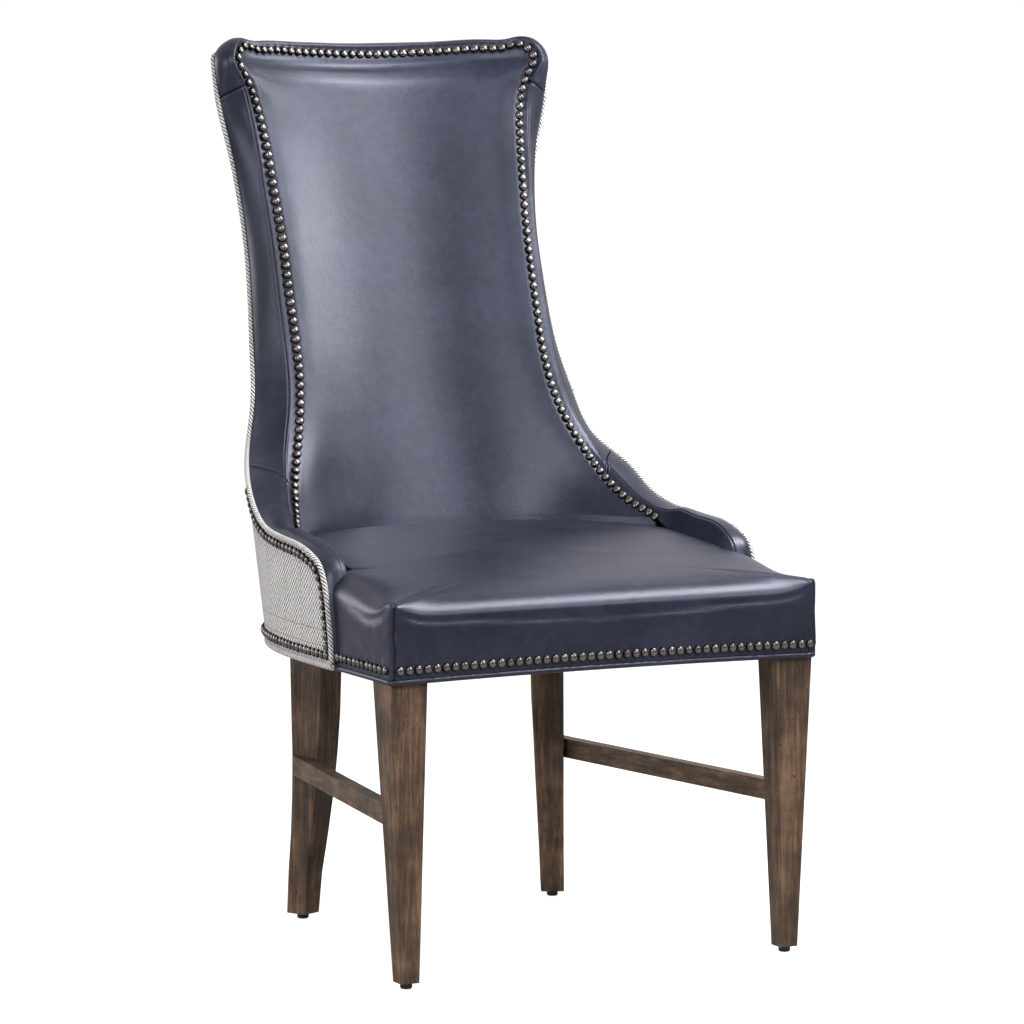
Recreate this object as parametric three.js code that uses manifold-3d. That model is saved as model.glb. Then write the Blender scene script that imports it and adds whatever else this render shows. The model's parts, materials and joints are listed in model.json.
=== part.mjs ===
// Leather side chair: a raked, hollow leather back that sweeps down into short arms, a fixed
// crowned seat, tweed outside panels, nailhead rows, tapered front legs, swept rear legs and
// side stretchers. Millimetres, +Z up. While it is built, y = 0 is the seat's front face.

import * as THREE from "three";
import { mergeVertices } from "three/addons/utils/BufferGeometryUtils.js";
import Module from "manifold-3d";

const wasm = await Module();
wasm.setup();

// Seat
const SKIRT_HEIGHT = 349; // floor to the underside of the welts
const SKIRT_ARCH = 3; // rise of the front skirt's middle
const SEAT_DEPTH = 473; // front face to the inside back, at the middle
const SEAT_RISE = 128; // skirt to where the seat meets the back
const SEAT_EDGE_RISE = 92; // skirt to the top of the front edge
const SEAT_TUCK_RISE = 81; // skirt to the cover's lower edge between the arms
const SEAT_CROWN = 4; // extra rise of the seat's middle
const SEAT_CORNER = 9;
const SEAT_EDGE_ROUND = 15;
const SEAT_CREVICE_ROUND = 6; // edge against the arms and the back
const SEAT_BULGE = 1.6;
const SHOULDER_CLEARANCE = 5; // seat's shoulder to the arm's front
const SEAT_SIDE_STEP = 5; // arm's outer side to the seat's side

// Arms
const OUTER_WIDTH = 560; // over the arms
const ARM_WIDTH = 39;
const ARM_SETBACK = 148; // seat's front face to the front of the arms
const ARM_STOP = 67; // rear end of the arm's sweep to the inside back
const ARM_HEIGHT = 142; // skirt to the arm's edge
const WALL_STEP = 9; // front of the arms to where the outer wall begins to curve

// Back
const BACK_HEIGHT = 1043; // floor to the nail row at the top's middle
const BACK_RAKE = 16.5; // degrees
const BACK_THICKNESS = 56; // inside back at the seat to the outside back at the skirt
const BACK_TAPER = 13.7; // how much thinner the back is at its top
const TOP_RISE = 10; // how much higher the top's nail row is at the ears
const PAD_CROWN = 11;
const SHELF = 5.5; // flat beside the nail row, on each side
const RIDGE_LIFT = 8.7; // height of the border's ridge over its edges
const CREST_RIDGE_LIFT = 13.2;
const RIDGE_ROUND = 1.1;
const SIDE_BULGE = 3.2;

// Coverings, trims and clearances
const LEATHER = 1.8;
const TWEED = 1.6;
const GAP = 0.3;
const EDGE_GAP = 0.6;
const WELT_RADIUS = 3.1;
const SEAT_WELT_RADIUS = 3.3;
const BASE_ROLL_RADIUS = 4;
const NAIL_WIDTH = 10.5;
const NAIL_RISE = 2.8;
const NAIL_GAP = 0.9;
const NAIL_ROW_RISE = 16.5; // skirt to the nail rows along it
const EDGE_NAIL_INSET = 9.5; // outer welt to the nail row beside it

// Padding and frame
const BACK_FOAM = 20;
const PAD_DROP = 4; // how far the edge pads reach below the edge
const FRAME_BOARD = 10; // the back's stiles and rails
const RAIL_THICKNESS = 24;
const RAIL_REACH = 63; // skirt to the rails' top
const RAIL_CLEARANCE = 5; // skirt welts' underside to the rails' underside
const RAIL_INSET = 13; // outer wall to the rails
const FRONT_RAIL_INSET = 7;
const BLOCK_HEIGHT = 24;
const BLOCK_REACH = 62;
const REAR_BLOCK_DEPTH = 36;
const PANEL_DROP = 5; // arm pads to the arm panels
const ARM_PANEL_THICKNESS = 12;
const STRAP_WIDTH = 50;
const STRAP_THICKNESS = 1.4;
const STRAP_SPREAD = 150;
const STRAP_REST = 10; // width of rail under a strap's end
const DUST_THICKNESS = 0.8;

// Front legs
const FRONT_LEG_TOP = 47;
const LEG_SHOULDER = 4; // step under the seat's welt
const FRONT_LEG_FOOT = 23.5;
const FRONT_LEG_INSET = 30.8; // its centre from the arms' outer sides and the seat's front
const FRONT_LEG_TAPER_IN = 2.9; // how much nearer the middle the foot stands
const FRONT_LEG_TAPER_OUT = 7.9; // how much nearer the front the foot stands
const LEG_CHAMFER = 1.6;

// Rear legs
const REAR_LEG_WIDTH = 40.7;
const REAR_LEG_DEPTH = 51;
const REAR_LEG_FOOT = 28.8;
const REAR_LEG_INSET = 33.7; // its centre from the outer wall
const REAR_LEG_PLACE = 58.75; // degrees round the wall
const REAR_LEG_TURN = 25.6; // degrees
const REAR_LEG_SPLAY = 14; // how far out the foot stands
const REAR_LEG_SWEEP = 10.5; // how far back the foot stands
const REAR_LEG_STRAIGHT = 14; // skirt down to where the leg begins to curve

// Stretchers, glides and bolts
const STRETCHER_HEIGHT = 23.5;
const STRETCHER_THICKNESS = 16;
const STRETCHER_TOP = 201;
const STRETCHER_FRONT_OUT = 2.3; // its outer side from the front leg's centre
const STRETCHER_FRONT_BACK = 5.2;
const STRETCHER_REAR_OUT = 28; // its outer side from the rear leg's centre
const STRETCHER_REAR_BACK = 8.4;
const GLIDE_RADIUS = 7;
const GLIDE_HEIGHT = 6.8;
const GLIDE_EDGE = 1.4;
const BOLT_RADIUS = 3.5;
const BOLT_DEPTH = 22;
const BOLT_SETBACK = 8.5; // from the rails' inner corner
const REAR_BOLT_SETBACK = 15.3; // from the rear leg's centre
const NUT_RADIUS = 7;
const NUT_HEIGHT = 5;
const OVERRUN = 60; // how far a cutter runs past what it cuts

// One side of the back's edge, from the arm up to the ear's corner. Each row is the nail row's
// share of EAR_WIDTH / 2, of SEAT_DEPTH and of the back's rise, then the outer welt's share of
// BASE_DEPTH and of the back's rise. The depths gain the back's lean as they rise.
const SIDE_SHARES = [
  [1.186, 0.693, 0.012, 0.663, 0.036],
  [1.112, 0.767, 0.043, 0.733, 0.065],
  [1.041, 0.825, 0.089, 0.79, 0.111],
  [0.969, 0.863, 0.147, 0.872, 0.173],
  [0.869, 0.896, 0.247, 0.886, 0.267],
  [0.825, 0.907, 0.36, 0.904, 0.366],
  [0.824, 0.912, 0.477, 0.909, 0.468],
  [0.824, 0.911, 0.594, 0.911, 0.581],
  [0.841, 0.911, 0.71, 0.904, 0.694],
  [0.864, 0.908, 0.827, 0.886, 0.806],
  [0.9, 0.906, 0.905, 0.869, 0.876],
  [0.936, 0.898, 0.943, 0.862, 0.91],
  [0.985, 0.883, 0.975, 0.858, 0.949],
  [1, 0.881, 0.998, 0.853, 0.981],
  [0.955, 0.893, 1.018, 0.853, 1],
];
const SEAM_ROW = 2; // where the arm's leather is sewn to the side border
const EAR_SEAM_ROW = 11; // where the side border is sewn to the crest border
const TOP_SHARES = [0.9, 0.75, 0.55, 0.3, 0];
const CREST_BLEND = [10, 3]; // row where the top's curve sets in, and rows it takes

// Rows, then columns, that the pieces behind the inside back run between
const FOAM_EXTENT = [[1, 14], [1, -1]];
const STILE_EXTENT = [[0, 13], [8, 11]];
const LUMBAR_EXTENT = [[3, 6], [2, 9]];
const CREST_EXTENT = [[12, 15], [1, 10]];
const FOOT_COLUMNS = [6, 12]; // of the inside back's foot, on the right
const PANEL_STATION = 3; // station where the arm panels begin

// The arm's edge from its front foot on the roll up to the back: shares of ARM_LENGTH and
// ARM_HEIGHT for the welt, then for the arm's inner edge, then the ridge's place and its lift.
const ARM_SHARES = [
  [0, 0.004, 0, 0.004, 0.25, 0.02],
  [0.008, 0.209, 0.008, 0.171, 0.25, 0.02],
  [0.027, 0.433, 0.027, 0.358, 0.25, 0.02],
  [0.05, 0.62, 0.05, 0.507, 0.3, 0.03],
  [0.074, 0.731, 0.074, 0.587, 0.4, 0.06],
  [0.112, 0.824, 0.1, 0.65, 0.5, 0.1],
  [0.19, 0.895, 0.151, 0.693, 0.58, 0.13],
  [0.306, 0.951, 0.236, 0.735, 0.6, 0.14],
  [0.461, 0.978, 0.345, 0.756, 0.6, 0.14],
  [0.636, 1, 0.52, 0.788, 0.6, 0.14],
];

// The outer wall by height: share of skirt to back top, then shares of OUTER_WIDTH / 2 and
// OUTER_LEAN, and the power of its plan curve.
const WALL_SHARES = [
  [0, 1, 0, 2.9],
  [0.3, 1.01, 0.28, 3.35],
  [0.39, 1.06, 0.31, 2.8],
  [0.505, 1.264, 0.41, 2.4],
  [0.795, 1.396, 0.766, 2.2],
  [1, 1.464, 1, 2.1],
];

// A rear leg from its top down: height, width, depth, splay and sweep
const REAR_LEG_SHARES = [
  [1, 1, 1, 0, 0],
  [0.75, 0.884, 0.83, 0.065, -0.07],
  [0.6, 0.694, 0.65, 0.174, -0.1],
  [0.45, 0.504, 0.47, 0.326, 0.07],
  [0.3, 0.306, 0.27, 0.55, 0.37],
  [0.15, 0.132, 0.09, 0.826, 0.8],
  [0, 0, 0, 1, 1],
];
const EAR_SHARE = 0.834; // width between the ears' nail rows, of that between the arms
const PANEL_SEAM_SHARE = 0.85; // place of the panels' seam across half of OUTER_WIDTH
const RIDGE_SHARE = 0.2; // place of the border's ridge between nail row and welt
const CREST_RIDGE_SHARE = 0.12;
const RIDGE_ROUND_SHARES = [0.35, 0.07];
const BULGE_SHARES = [0.36, 0.7];
const PAD_SHARES = [-0.9, -0.75, -0.55, -0.3, 0, 0.3, 0.55, 0.75, 0.9];
const FRAME_EDGE_SHARE = 0.97; // reach of the frame and foam towards the nail rows
const PANEL_ROW_SHARES = [0, 0.2, 0.45, 0.7, 0.87, 1];
const PANEL_COLUMN_SHARES = [-1, -0.9, -0.75, -0.55, -0.3, 0, 0.3, 0.55, 0.75, 0.9, 1];
const SEAT_FRONT_SHARES = [0, 0.35, 0.7];
const SEAT_RING_SHARES = [0.75, 0.45, 0.15];
const SEAT_MIDDLE_SHARE = 0.95; // the seat's middle point, of ARM_SETBACK
const BULGE_HEIGHT_SHARE = 0.55;
const ROUND_SHARE = 0.29; // how far a round edge's middle is drawn in
const STRAP_SHARES = [0.21, 0.62]; // places of the cross straps over SEAT_DEPTH
const NAIL_REST_SHARE = 0.35; // of SEAT_BULGE, where the front's nails rest
const BAND_SHARES = [
  [-0.5, 0],
  [0.5, 0],
  [0.34, 0.7],
  [0, 1],
  [-0.34, 0.7],
];

// Powers of the curves, angles in degrees, and counts
const PAD_EDGE_POWER = 12;
const FOOT_HOLLOW_POWER = 2.6; // the inside back's plan curve at the seat
const HOLLOW_POWER = 2;
const HOLLOW_BLEND = 4; // rows over which the one becomes the other
const TOP_POWER = 1.5;
const SEAT_SLOPE_POWER = 2.2;
const CORNER_TURNS = [0, 30, 60, 90];
const SIDE_TURN = 0;
const BACK_TURN = 90;
const STRAP_TURN = 80;
const RAIL_JOINT = 35; // round the wall, where the side and rear rails meet
const JOINT_GAP = 0.1;
const REAR_BLOCK_TURNS = [43, 66];
const RAIL_STEPS = 6;
const REAR_RAIL_STEPS = 18;
const REAR_BLOCK_STEPS = 4;
const CORD_SIDES = 6;
const ROLL_SIDES = 8;
const ROD_SIDES = 12;
const NUT_SIDES = 6;
const GLIDE_SIDES = 16;
const SEAT_RUN_POINTS = 9; // of seatHalf, up to the shoulder

// Colour, roughness and metalness
const FINISHES = {
  leather: [0x3a3f4e, 0.38, 0],
  tweed: [0xc9c7c2, 0.95, 0],
  nail: [0x6a6258, 0.35, 1],
  leg: [0x4a3f35, 0.55, 0],
  frame: [0xb59a72, 0.8, 0],
  foam: [0xe3dcc4, 0.95, 0],
  strap: [0x2d2a28, 0.9, 0],
  dust: [0x18181a, 0.95, 0],
  glide: [0x2a2624, 0.45, 0],
  steel: [0x9a9a9c, 0.4, 1],
};

const { degToRad, lerp, clamp } = THREE.MathUtils;
const vec = (x, y, z) => new THREE.Vector3(x, y, z);
const mix = (a, b, share) => a.clone().lerp(b, share);
const UP = vec(0, 0, 1);
const flipped = (p) => vec(-p.x, p.y, p.z);
const SEAT_WIDTH = OUTER_WIDTH - 2 * SEAT_SIDE_STEP;
const SEAT_HEIGHT = SKIRT_HEIGHT + SEAT_RISE;
const SEAT_EDGE_HEIGHT = SKIRT_HEIGHT + SEAT_EDGE_RISE;
const SEAT_TUCK = SKIRT_HEIGHT + SEAT_TUCK_RISE;
const ARM_INNER_WIDTH = OUTER_WIDTH - 2 * ARM_WIDTH;
const EAR_WIDTH = EAR_SHARE * ARM_INNER_WIDTH;
const WALL_START = ARM_SETBACK + WALL_STEP;
const RISE = BACK_HEIGHT - SEAT_HEIGHT;
const ARM_LENGTH = SEAT_DEPTH - ARM_STOP - ARM_SETBACK; // along which the arm's edge sweeps down
const BASE_DEPTH = SEAT_DEPTH + BACK_THICKNESS; // front face to the outside back at the skirt
const BACK_LEAN = RISE * Math.tan(degToRad(BACK_RAKE)); // reach of the inside back's top
const OUTER_LEAN = BACK_LEAN - BACK_TAPER; // reach of the outside back's top
const NAIL_ROW_HEIGHT = SKIRT_HEIGHT + NAIL_ROW_RISE;
const RAIL_BOTTOM = SKIRT_HEIGHT + RAIL_CLEARANCE;
const RAIL_TOP = SKIRT_HEIGHT + RAIL_REACH;
const FRONT_LEG_X = OUTER_WIDTH / 2 - FRONT_LEG_INSET;
const FRONT_LEG_Y = FRONT_LEG_INSET;
const FRONT_LEG_FOOT_X = FRONT_LEG_X - FRONT_LEG_TAPER_IN;
const FRONT_LEG_FOOT_Y = FRONT_LEG_Y - FRONT_LEG_TAPER_OUT;
const REAR_LEG_CURVE_HEIGHT = SKIRT_HEIGHT - REAR_LEG_STRAIGHT;
const LEG_TOP = RAIL_BOTTOM - GAP;
const STRAP_TOP = RAIL_TOP + 2 * (GAP + STRAP_THICKNESS);

const chair = new THREE.Group();

function add(name, finish, geometry, side = 1) {
  const [color, roughness, metalness] = FINISHES[finish];
  const mesh = new THREE.Mesh(geometry, new THREE.MeshStandardMaterial({ color, roughness, metalness }));
  mesh.name = name;
  mesh.scale.x = side;
  chair.add(mesh);
}

function addPair(name, finish, geometry) {
  add(name + "_right", finish, geometry);
  add(name + "_left", finish, geometry, -1);
}

// Geometry helpers

// A closed surface from points and triangles, its faces turned outwards.
function closedSurface(points, faces) {
  let volume = 0;
  for (const [a, b, c] of faces) {
    volume += points[a].dot(points[b].clone().cross(points[c]));
  }
  const index = faces.flatMap(([a, b, c]) => (volume < 0 ? [a, c, b] : [a, b, c]));
  const geometry = new THREE.BufferGeometry().setFromPoints(points);
  geometry.setIndex(index);
  return geometry;
}

// Rings of equal length joined one to the next, with a cap round a middle point at each end.
function loft(rings) {
  const points = rings.flat();
  const faces = [];
  const n = rings[0].length;
  for (let r = 0; r + 1 < rings.length; r++) {
    for (let i = 0; i < n; i++) {
      const a = r * n + i;
      const b = r * n + ((i + 1) % n);
      if (points[a].x + points[b].x < 0) faces.push([a, b, a + n], [b, b + n, a + n]);
      else faces.push([a, b, b + n], [a, b + n, a + n]);
    }
  }
  const last = rings.length - 1;
  for (const r of [0, last]) {
    const hub = points.length;
    points.push(rings[r].reduce((sum, p) => sum.add(p), vec(0, 0, 0)).divideScalar(n));
    for (let i = 0; i < n; i++) {
      const a = r * n + i;
      const b = r * n + ((i + 1) % n);
      faces.push(r ? [hub, a, b] : [hub, b, a]);
    }
  }
  return closedSurface(points, faces);
}

// The unit normal at each point of a grid; toward picks its side.
function gridNormals(grid, toward) {
  const lastRow = grid.length - 1;
  return grid.map((row, r) =>
    row.map((_, c) => {
      const along = grid[Math.min(r + 1, lastRow)][c].clone().sub(grid[Math.max(r - 1, 0)][c]);
      const across = row[Math.min(c + 1, row.length - 1)].clone().sub(row[Math.max(c - 1, 0)]);
      return across.cross(along).normalize().multiplyScalar(toward);
    }),
  );
}

// The grid moved a depth behind its face.
function behind(grid, depth, toward = 1) {
  const normals = gridNormals(grid, toward);
  return grid.map((row, r) => row.map((p, c) => p.clone().addScaledVector(normals[r][c], -depth)));
}

// The solid between two grids of the same size.
function between(front, back) {
  const rows = front.length;
  const cols = front[0].length;
  const points = [...front.flat(), ...back.flat()];
  const under = rows * cols;
  const faces = [];
  const quad = (a, b, c, d) => faces.push([a, b, c], [a, c, d]);
  for (let r = 0; r + 1 < rows; r++) {
    for (let c = 0; c + 1 < cols; c++) {
      const a = r * cols + c;
      const ring = [a, a + 1, a + 1 + cols, a + cols];
      if (points[a].x + points[a + 1].x < 0) ring.push(ring.shift());
      quad(...ring);
      quad(...[ring[0], ...ring.slice(1).toReversed()].map((i) => under + i));
    }
  }
  const rim = [];
  for (let c = 0; c + 1 < cols; c++) rim.push(c);
  for (let r = 0; r + 1 < rows; r++) rim.push(r * cols + cols - 1);
  for (let c = cols - 1; c > 0; c--) rim.push((rows - 1) * cols + c);
  for (let r = rows - 1; r > 0; r--) rim.push(r * cols);
  rim.forEach((a, i) => {
    const b = rim[(i + 1) % rim.length];
    quad(a, under + a, under + b, b);
  });
  return closedSurface(points, faces);
}

// The end of a line drawn back by a length.
function drawnBack(line, length) {
  const last = line.length - 1;
  const end = line[last];
  const step = line[last - 1].clone().sub(end).setLength(length);
  return [...line.slice(0, last), end.clone().add(step)];
}

const fromStart = (line, length) => drawnBack(line.toReversed(), length).toReversed();

// A grid with its edges drawn in: first row, last row, first column, last column.
function trimmed(grid, first, last, left, right) {
  const lines = grid.map((row) => fromStart(drawnBack(row, right), left));
  const columns = lines[0].map((_, c) => fromStart(drawnBack(lines.map((row) => row[c]), last), first));
  return grid.map((_, r) => columns.map((column) => column[r]));
}

// A plan outline raised between two heights.
function raised(outline, low, high) {
  const geometry = new THREE.ExtrudeGeometry(new THREE.Shape(outline), {
    depth: high - low,
    bevelEnabled: false,
  });
  return geometry.translate(0, 0, low);
}

function block(width, depth, low, high, x, y) {
  return new THREE.BoxGeometry(width, depth, high - low).translate(x, y, (low + high) / 2);
}

function rod(radius, low, high, x, y, sides = ROD_SIDES) {
  const geometry = new THREE.CylinderGeometry(radius, radius, high - low, sides);
  return geometry.rotateX(Math.PI / 2).translate(x, y, (low + high) / 2);
}

function toSolid(geometry) {
  const bare = geometry.clone();
  bare.deleteAttribute("normal");
  bare.deleteAttribute("uv");
  const merged = mergeVertices(bare);
  return new wasm.Manifold(
    new wasm.Mesh({
      numProp: 3,
      vertProperties: merged.attributes.position.array,
      triVerts: new Uint32Array(merged.index.array),
    }),
  );
}

function toGeometry(solid) {
  const mesh = solid.getMesh();
  const geometry = new THREE.BufferGeometry();
  geometry.setAttribute("position", new THREE.BufferAttribute(Float32Array.from(mesh.vertProperties), 3));
  geometry.setIndex(new THREE.BufferAttribute(Uint32Array.from(mesh.triVerts), 1));
  return geometry;
}

const cut = (geometry, ...cutters) =>
  toGeometry(cutters.reduce((solid, cutter) => solid.subtract(toSolid(cutter)), toSolid(geometry)));

const joined = (geometry, ...others) =>
  toGeometry(others.reduce((solid, other) => solid.add(toSolid(other)), toSolid(geometry)));

// The direction of a path at each of its points.
function tangents(path) {
  const last = path.length - 1;
  return path.map((_, i) => path[Math.min(i + 1, last)].clone().sub(path[Math.max(i - 1, 0)]).normalize());
}

// A round cord along a path.
function cord(path, facings, radius, sides) {
  const directions = tangents(path);
  return loft(
    path.map((p, i) => {
      const side = facings[i].clone().cross(directions[i]).normalize();
      const up = directions[i].clone().cross(side);
      const angles = Array.from({ length: sides }, (_, k) => (2 * Math.PI * k) / sides);
      return angles.map((angle) =>
        p
          .clone()
          .addScaledVector(side, radius * Math.cos(angle))
          .addScaledVector(up, radius * Math.sin(angle)),
      );
    }),
  );
}

// A low domed band along a path that lies on a surface with the given facings.
function band(marks) {
  return loft(
    marks.map(({ at, side, facing }) =>
      BAND_SHARES.map(([across, rise]) =>
        at
          .clone()
          .addScaledVector(side, across * NAIL_WIDTH)
          .addScaledVector(facing, NAIL_GAP + rise * NAIL_RISE),
      ),
    ),
  );
}

// Interpolation in a table whose first column rises.
function tableValue(table, at, column) {
  const i = clamp(table.findIndex((row) => row[0] > at) - 1, 0, table.length - 2);
  const start = at >= table[table.length - 1][0] ? table.length - 2 : i;
  const share = (at - table[start][0]) / (table[start + 1][0] - table[start][0]);
  return lerp(table[start][column], table[start + 1][column], share);
}

// The chair's two master surfaces

const innerMiddle = (z) => SEAT_DEPTH + Math.max(z - SEAT_HEIGHT, 0) * Math.tan(degToRad(BACK_RAKE));

// The outer wall's half-width, depth and plan power at a height.
function wallAt(z, inset = 0) {
  const rise = (z - SKIRT_HEIGHT) / (BACK_HEIGHT - SKIRT_HEIGHT);
  return {
    half: (OUTER_WIDTH / 2) * tableValue(WALL_SHARES, rise, 1) - inset,
    deep: BASE_DEPTH + OUTER_LEAN * tableValue(WALL_SHARES, rise, 2) - WALL_START - inset,
    power: tableValue(WALL_SHARES, rise, 3),
  };
}

const rest = (share, power) => Math.max(1 - Math.abs(share) ** power, 0) ** (1 / power);

function wallX(y, z) {
  const { half, deep, power } = wallAt(z);
  return half * rest(Math.max(y - WALL_START, 0) / deep, power);
}

function wallY(x, z) {
  const { half, deep, power } = wallAt(z);
  return WALL_START + deep * rest(x / half, power);
}

// Points round the outer wall at one height, by angle from the right side over the back.
function wallCurve(from, to, steps, z, inset) {
  const { half, deep, power } = wallAt(z, inset);
  return Array.from({ length: steps + 1 }, (_, i) => {
    const angle = degToRad(lerp(from, to, i / steps));
    const across = Math.cos(angle);
    const along = Math.sin(angle);
    const x = half * Math.sign(across) * Math.abs(across) ** (2 / power);
    return vec(x, WALL_START + deep * Math.abs(along) ** (2 / power), z);
  });
}

const REAR_LEG = wallCurve(REAR_LEG_PLACE, REAR_LEG_PLACE, 1, SKIRT_HEIGHT, REAR_LEG_INSET)[0];

const topness = (row) => clamp((row - CREST_BLEND[0]) / CREST_BLEND[1], 0, 1);

function nailPoint(row) {
  const [width, depth, height] = SIDE_SHARES[row];
  const y = SEAT_DEPTH * depth + BACK_LEAN * height;
  return vec((EAR_WIDTH / 2) * width, y, SEAT_HEIGHT + RISE * height);
}

function weltPoint(row) {
  const [, , , depth, height] = SIDE_SHARES[row];
  const y = BASE_DEPTH * depth + OUTER_LEAN * height;
  const z = SEAT_HEIGHT + RISE * height;
  return vec(wallX(y, z), y, z);
}

// A point of the inside back: across is its share of the way to the nail row.
function innerPoint(row, across, crown) {
  const nail = nailPoint(row);
  const share = Math.abs(across);
  const power = lerp(FOOT_HOLLOW_POWER, HOLLOW_POWER, clamp(row / HOLLOW_BLEND, 0, 1));
  const z = nail.z - TOP_RISE * topness(row) * (1 - share ** TOP_POWER);
  const hollow = innerMiddle(nail.z) - nail.y;
  const swell = crown * (1 - share ** PAD_EDGE_POWER) * (1 - topness(row) ** 2);
  return vec(across * nail.x, innerMiddle(z) - hollow * share ** power - swell, z);
}

// Stations of the leather edge on the right, from the foot of the arm's front to the crest's
// middle: the inner point, the welt's point, and the ridge between them.
function armStation([weltY, weltZ, innerY, innerZ, place, lift]) {
  const along = (share) => ARM_SETBACK + ARM_LENGTH * share;
  const up = (share) => SKIRT_HEIGHT + lerp(2 * BASE_ROLL_RADIUS, ARM_HEIGHT, share);
  return {
    inner: vec(ARM_INNER_WIDTH / 2, along(innerY), up(innerZ)),
    outer: vec(wallX(along(weltY), up(weltZ)), along(weltY), up(weltZ)),
    place,
    lift: ARM_HEIGHT * lift,
  };
}

function sideStation(_, row) {
  return {
    inner: nailPoint(row),
    outer: weltPoint(row),
    place: lerp(RIDGE_SHARE, CREST_RIDGE_SHARE, topness(row)),
    lift: lerp(RIDGE_LIFT, CREST_RIDGE_LIFT, topness(row)),
  };
}

function topStation(share) {
  const lastRow = SIDE_SHARES.length - 1;
  const corner = weltPoint(lastRow);
  return {
    inner: innerPoint(lastRow, share, 0),
    outer: vec(share * corner.x, wallY(share * corner.x, corner.z), corner.z),
    place: CREST_RIDGE_SHARE,
    lift: CREST_RIDGE_LIFT,
  };
}

const STATIONS = [
  ...ARM_SHARES.map(armStation),
  ...SIDE_SHARES.map(sideStation),
  ...TOP_SHARES.map(topStation),
];
const FIRST_SIDE = ARM_SHARES.length;
const SEAM = FIRST_SIDE + SEAM_ROW;
const EAR_SEAM = FIRST_SIDE + EAR_SEAM_ROW;
const MIDDLE = STATIONS.length - 1;

STATIONS.forEach((station, k) => {
  const before = STATIONS[Math.max(k - 1, 0)];
  const after = STATIONS[k + 1] ?? { inner: flipped(before.inner), outer: flipped(before.outer) };
  const run = after.inner.clone().sub(before.inner).add(after.outer).sub(before.outer).normalize();
  const chord = station.outer.clone().sub(station.inner);
  station.lifted = chord.clone().cross(run).normalize();
  station.ridge = mix(station.inner, station.outer, station.place);
  station.ridge.addScaledVector(station.lifted, station.lift);
  station.outward = station.outer.clone().sub(station.ridge).cross(run).normalize();
  station.shelf = station.ridge.clone().sub(station.inner).normalize();
  station.facing = station.shelf.clone().cross(run).normalize();
});

// The leather edge's section at one station, from the nail row over the ridge to the welt.
function borderRow(k) {
  const { inner, outer, ridge, shelf, facing, outward } = STATIONS[k];
  const flat = inner.clone().addScaledVector(shelf, SHELF);
  return [
    inner.clone(),
    flat,
    mix(ridge, flat, RIDGE_ROUND_SHARES[0]).addScaledVector(facing, RIDGE_ROUND),
    ridge.clone(),
    mix(ridge, outer, RIDGE_ROUND_SHARES[1]).addScaledVector(outward, RIDGE_ROUND),
    ...BULGE_SHARES.map((share) => mix(ridge, outer, share).addScaledVector(outward, SIDE_BULGE)),
    outer.clone(),
  ];
}

const borderGrid = (from, to) => Array.from({ length: to - from + 1 }, (_, i) => borderRow(from + i));

// The crest runs from ear seam to ear seam.
const crestGrid = () => {
  const half = borderGrid(EAR_SEAM, MIDDLE);
  return [...half, ...half.slice(0, -1).toReversed().map((row) => row.map(flipped))];
};

const mirrored = (path) => [...path, ...path.slice(0, -1).toReversed().map(flipped)];
const WELT_PATH = mirrored(STATIONS.map(({ outer }) => outer.clone()));
const WELT_FACINGS = mirrored(STATIONS.map(({ lifted }) => lifted.clone()));

// A solid's right half and its mirror image, as one.
function evened(geometry) {
  const rightHalf = block(BACK_HEIGHT, 2 * BACK_HEIGHT, -BACK_HEIGHT, 2 * BACK_HEIGHT, BACK_HEIGHT / 2, 0);
  const half = toSolid(geometry).intersect(toSolid(rightHalf));
  return toGeometry(half.add(half.mirror([1, 0, 0])));
}

const roomPath = WELT_PATH.map((p) => p.clone());
for (const end of [roomPath[0], roomPath[roomPath.length - 1]]) end.z -= 2 * WELT_RADIUS;
const weltRoom = evened(cord(roomPath, WELT_FACINGS, WELT_RADIUS + 2 * GAP, CORD_SIDES));

// The side rails' room, which the arm's front coverings stand outside.
const RAIL_OUTER_X = OUTER_WIDTH / 2 - RAIL_INSET;
const RAIL_INNER_X = OUTER_WIDTH / 2 - RAIL_INSET - RAIL_THICKNESS;
const railRoom = (side) =>
  block(
    RAIL_OUTER_X + GAP,
    OUTER_WIDTH,
    SKIRT_HEIGHT - OVERRUN,
    STRAP_TOP + GAP,
    (side * (RAIL_OUTER_X + GAP)) / 2,
    OUTER_WIDTH / 2,
  );

function leatherEdge(grid) {
  const face = trimmed(grid, EDGE_GAP / 2, EDGE_GAP / 2, EDGE_GAP / 2, 0);
  return cut(between(face, behind(face, LEATHER)), weltRoom);
}

// The padding under an edge: its leather's underside closed by a keel on the frame's side.
function edgePad(grid, keels) {
  const under = behind(grid, LEATHER + GAP);
  const sections = under.map((row, r) => [...row.slice(1, -1), keels[r]]);
  return loft(trimmed(sections, EDGE_GAP, EDGE_GAP, 0, 0));
}

const keel = (k, mirror = false) => {
  const { inner, outer, lifted } = STATIONS[k];
  const p = mix(inner, outer, 0.5).addScaledVector(lifted, -PAD_DROP);
  return mirror ? flipped(p) : p;
};

// The inside back's grid: shelves beside the nail rows, and the lower part behind the seat.
function insideRow(row) {
  const station = STATIONS[FIRST_SIDE + row];
  const shelf = station.inner.clone().addScaledVector(station.shelf, -SHELF);
  const padding = PAD_SHARES.map((across) => innerPoint(row, across, PAD_CROWN));
  return [flipped(station.inner), flipped(shelf), ...padding, shelf, station.inner.clone()];
}

function topRow(drop) {
  const tilt = STATIONS[MIDDLE].shelf;
  return PAD_SHARES.map((across) =>
    innerPoint(SIDE_SHARES.length - 1, across, 0).addScaledVector(tilt, -drop),
  );
}

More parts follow.
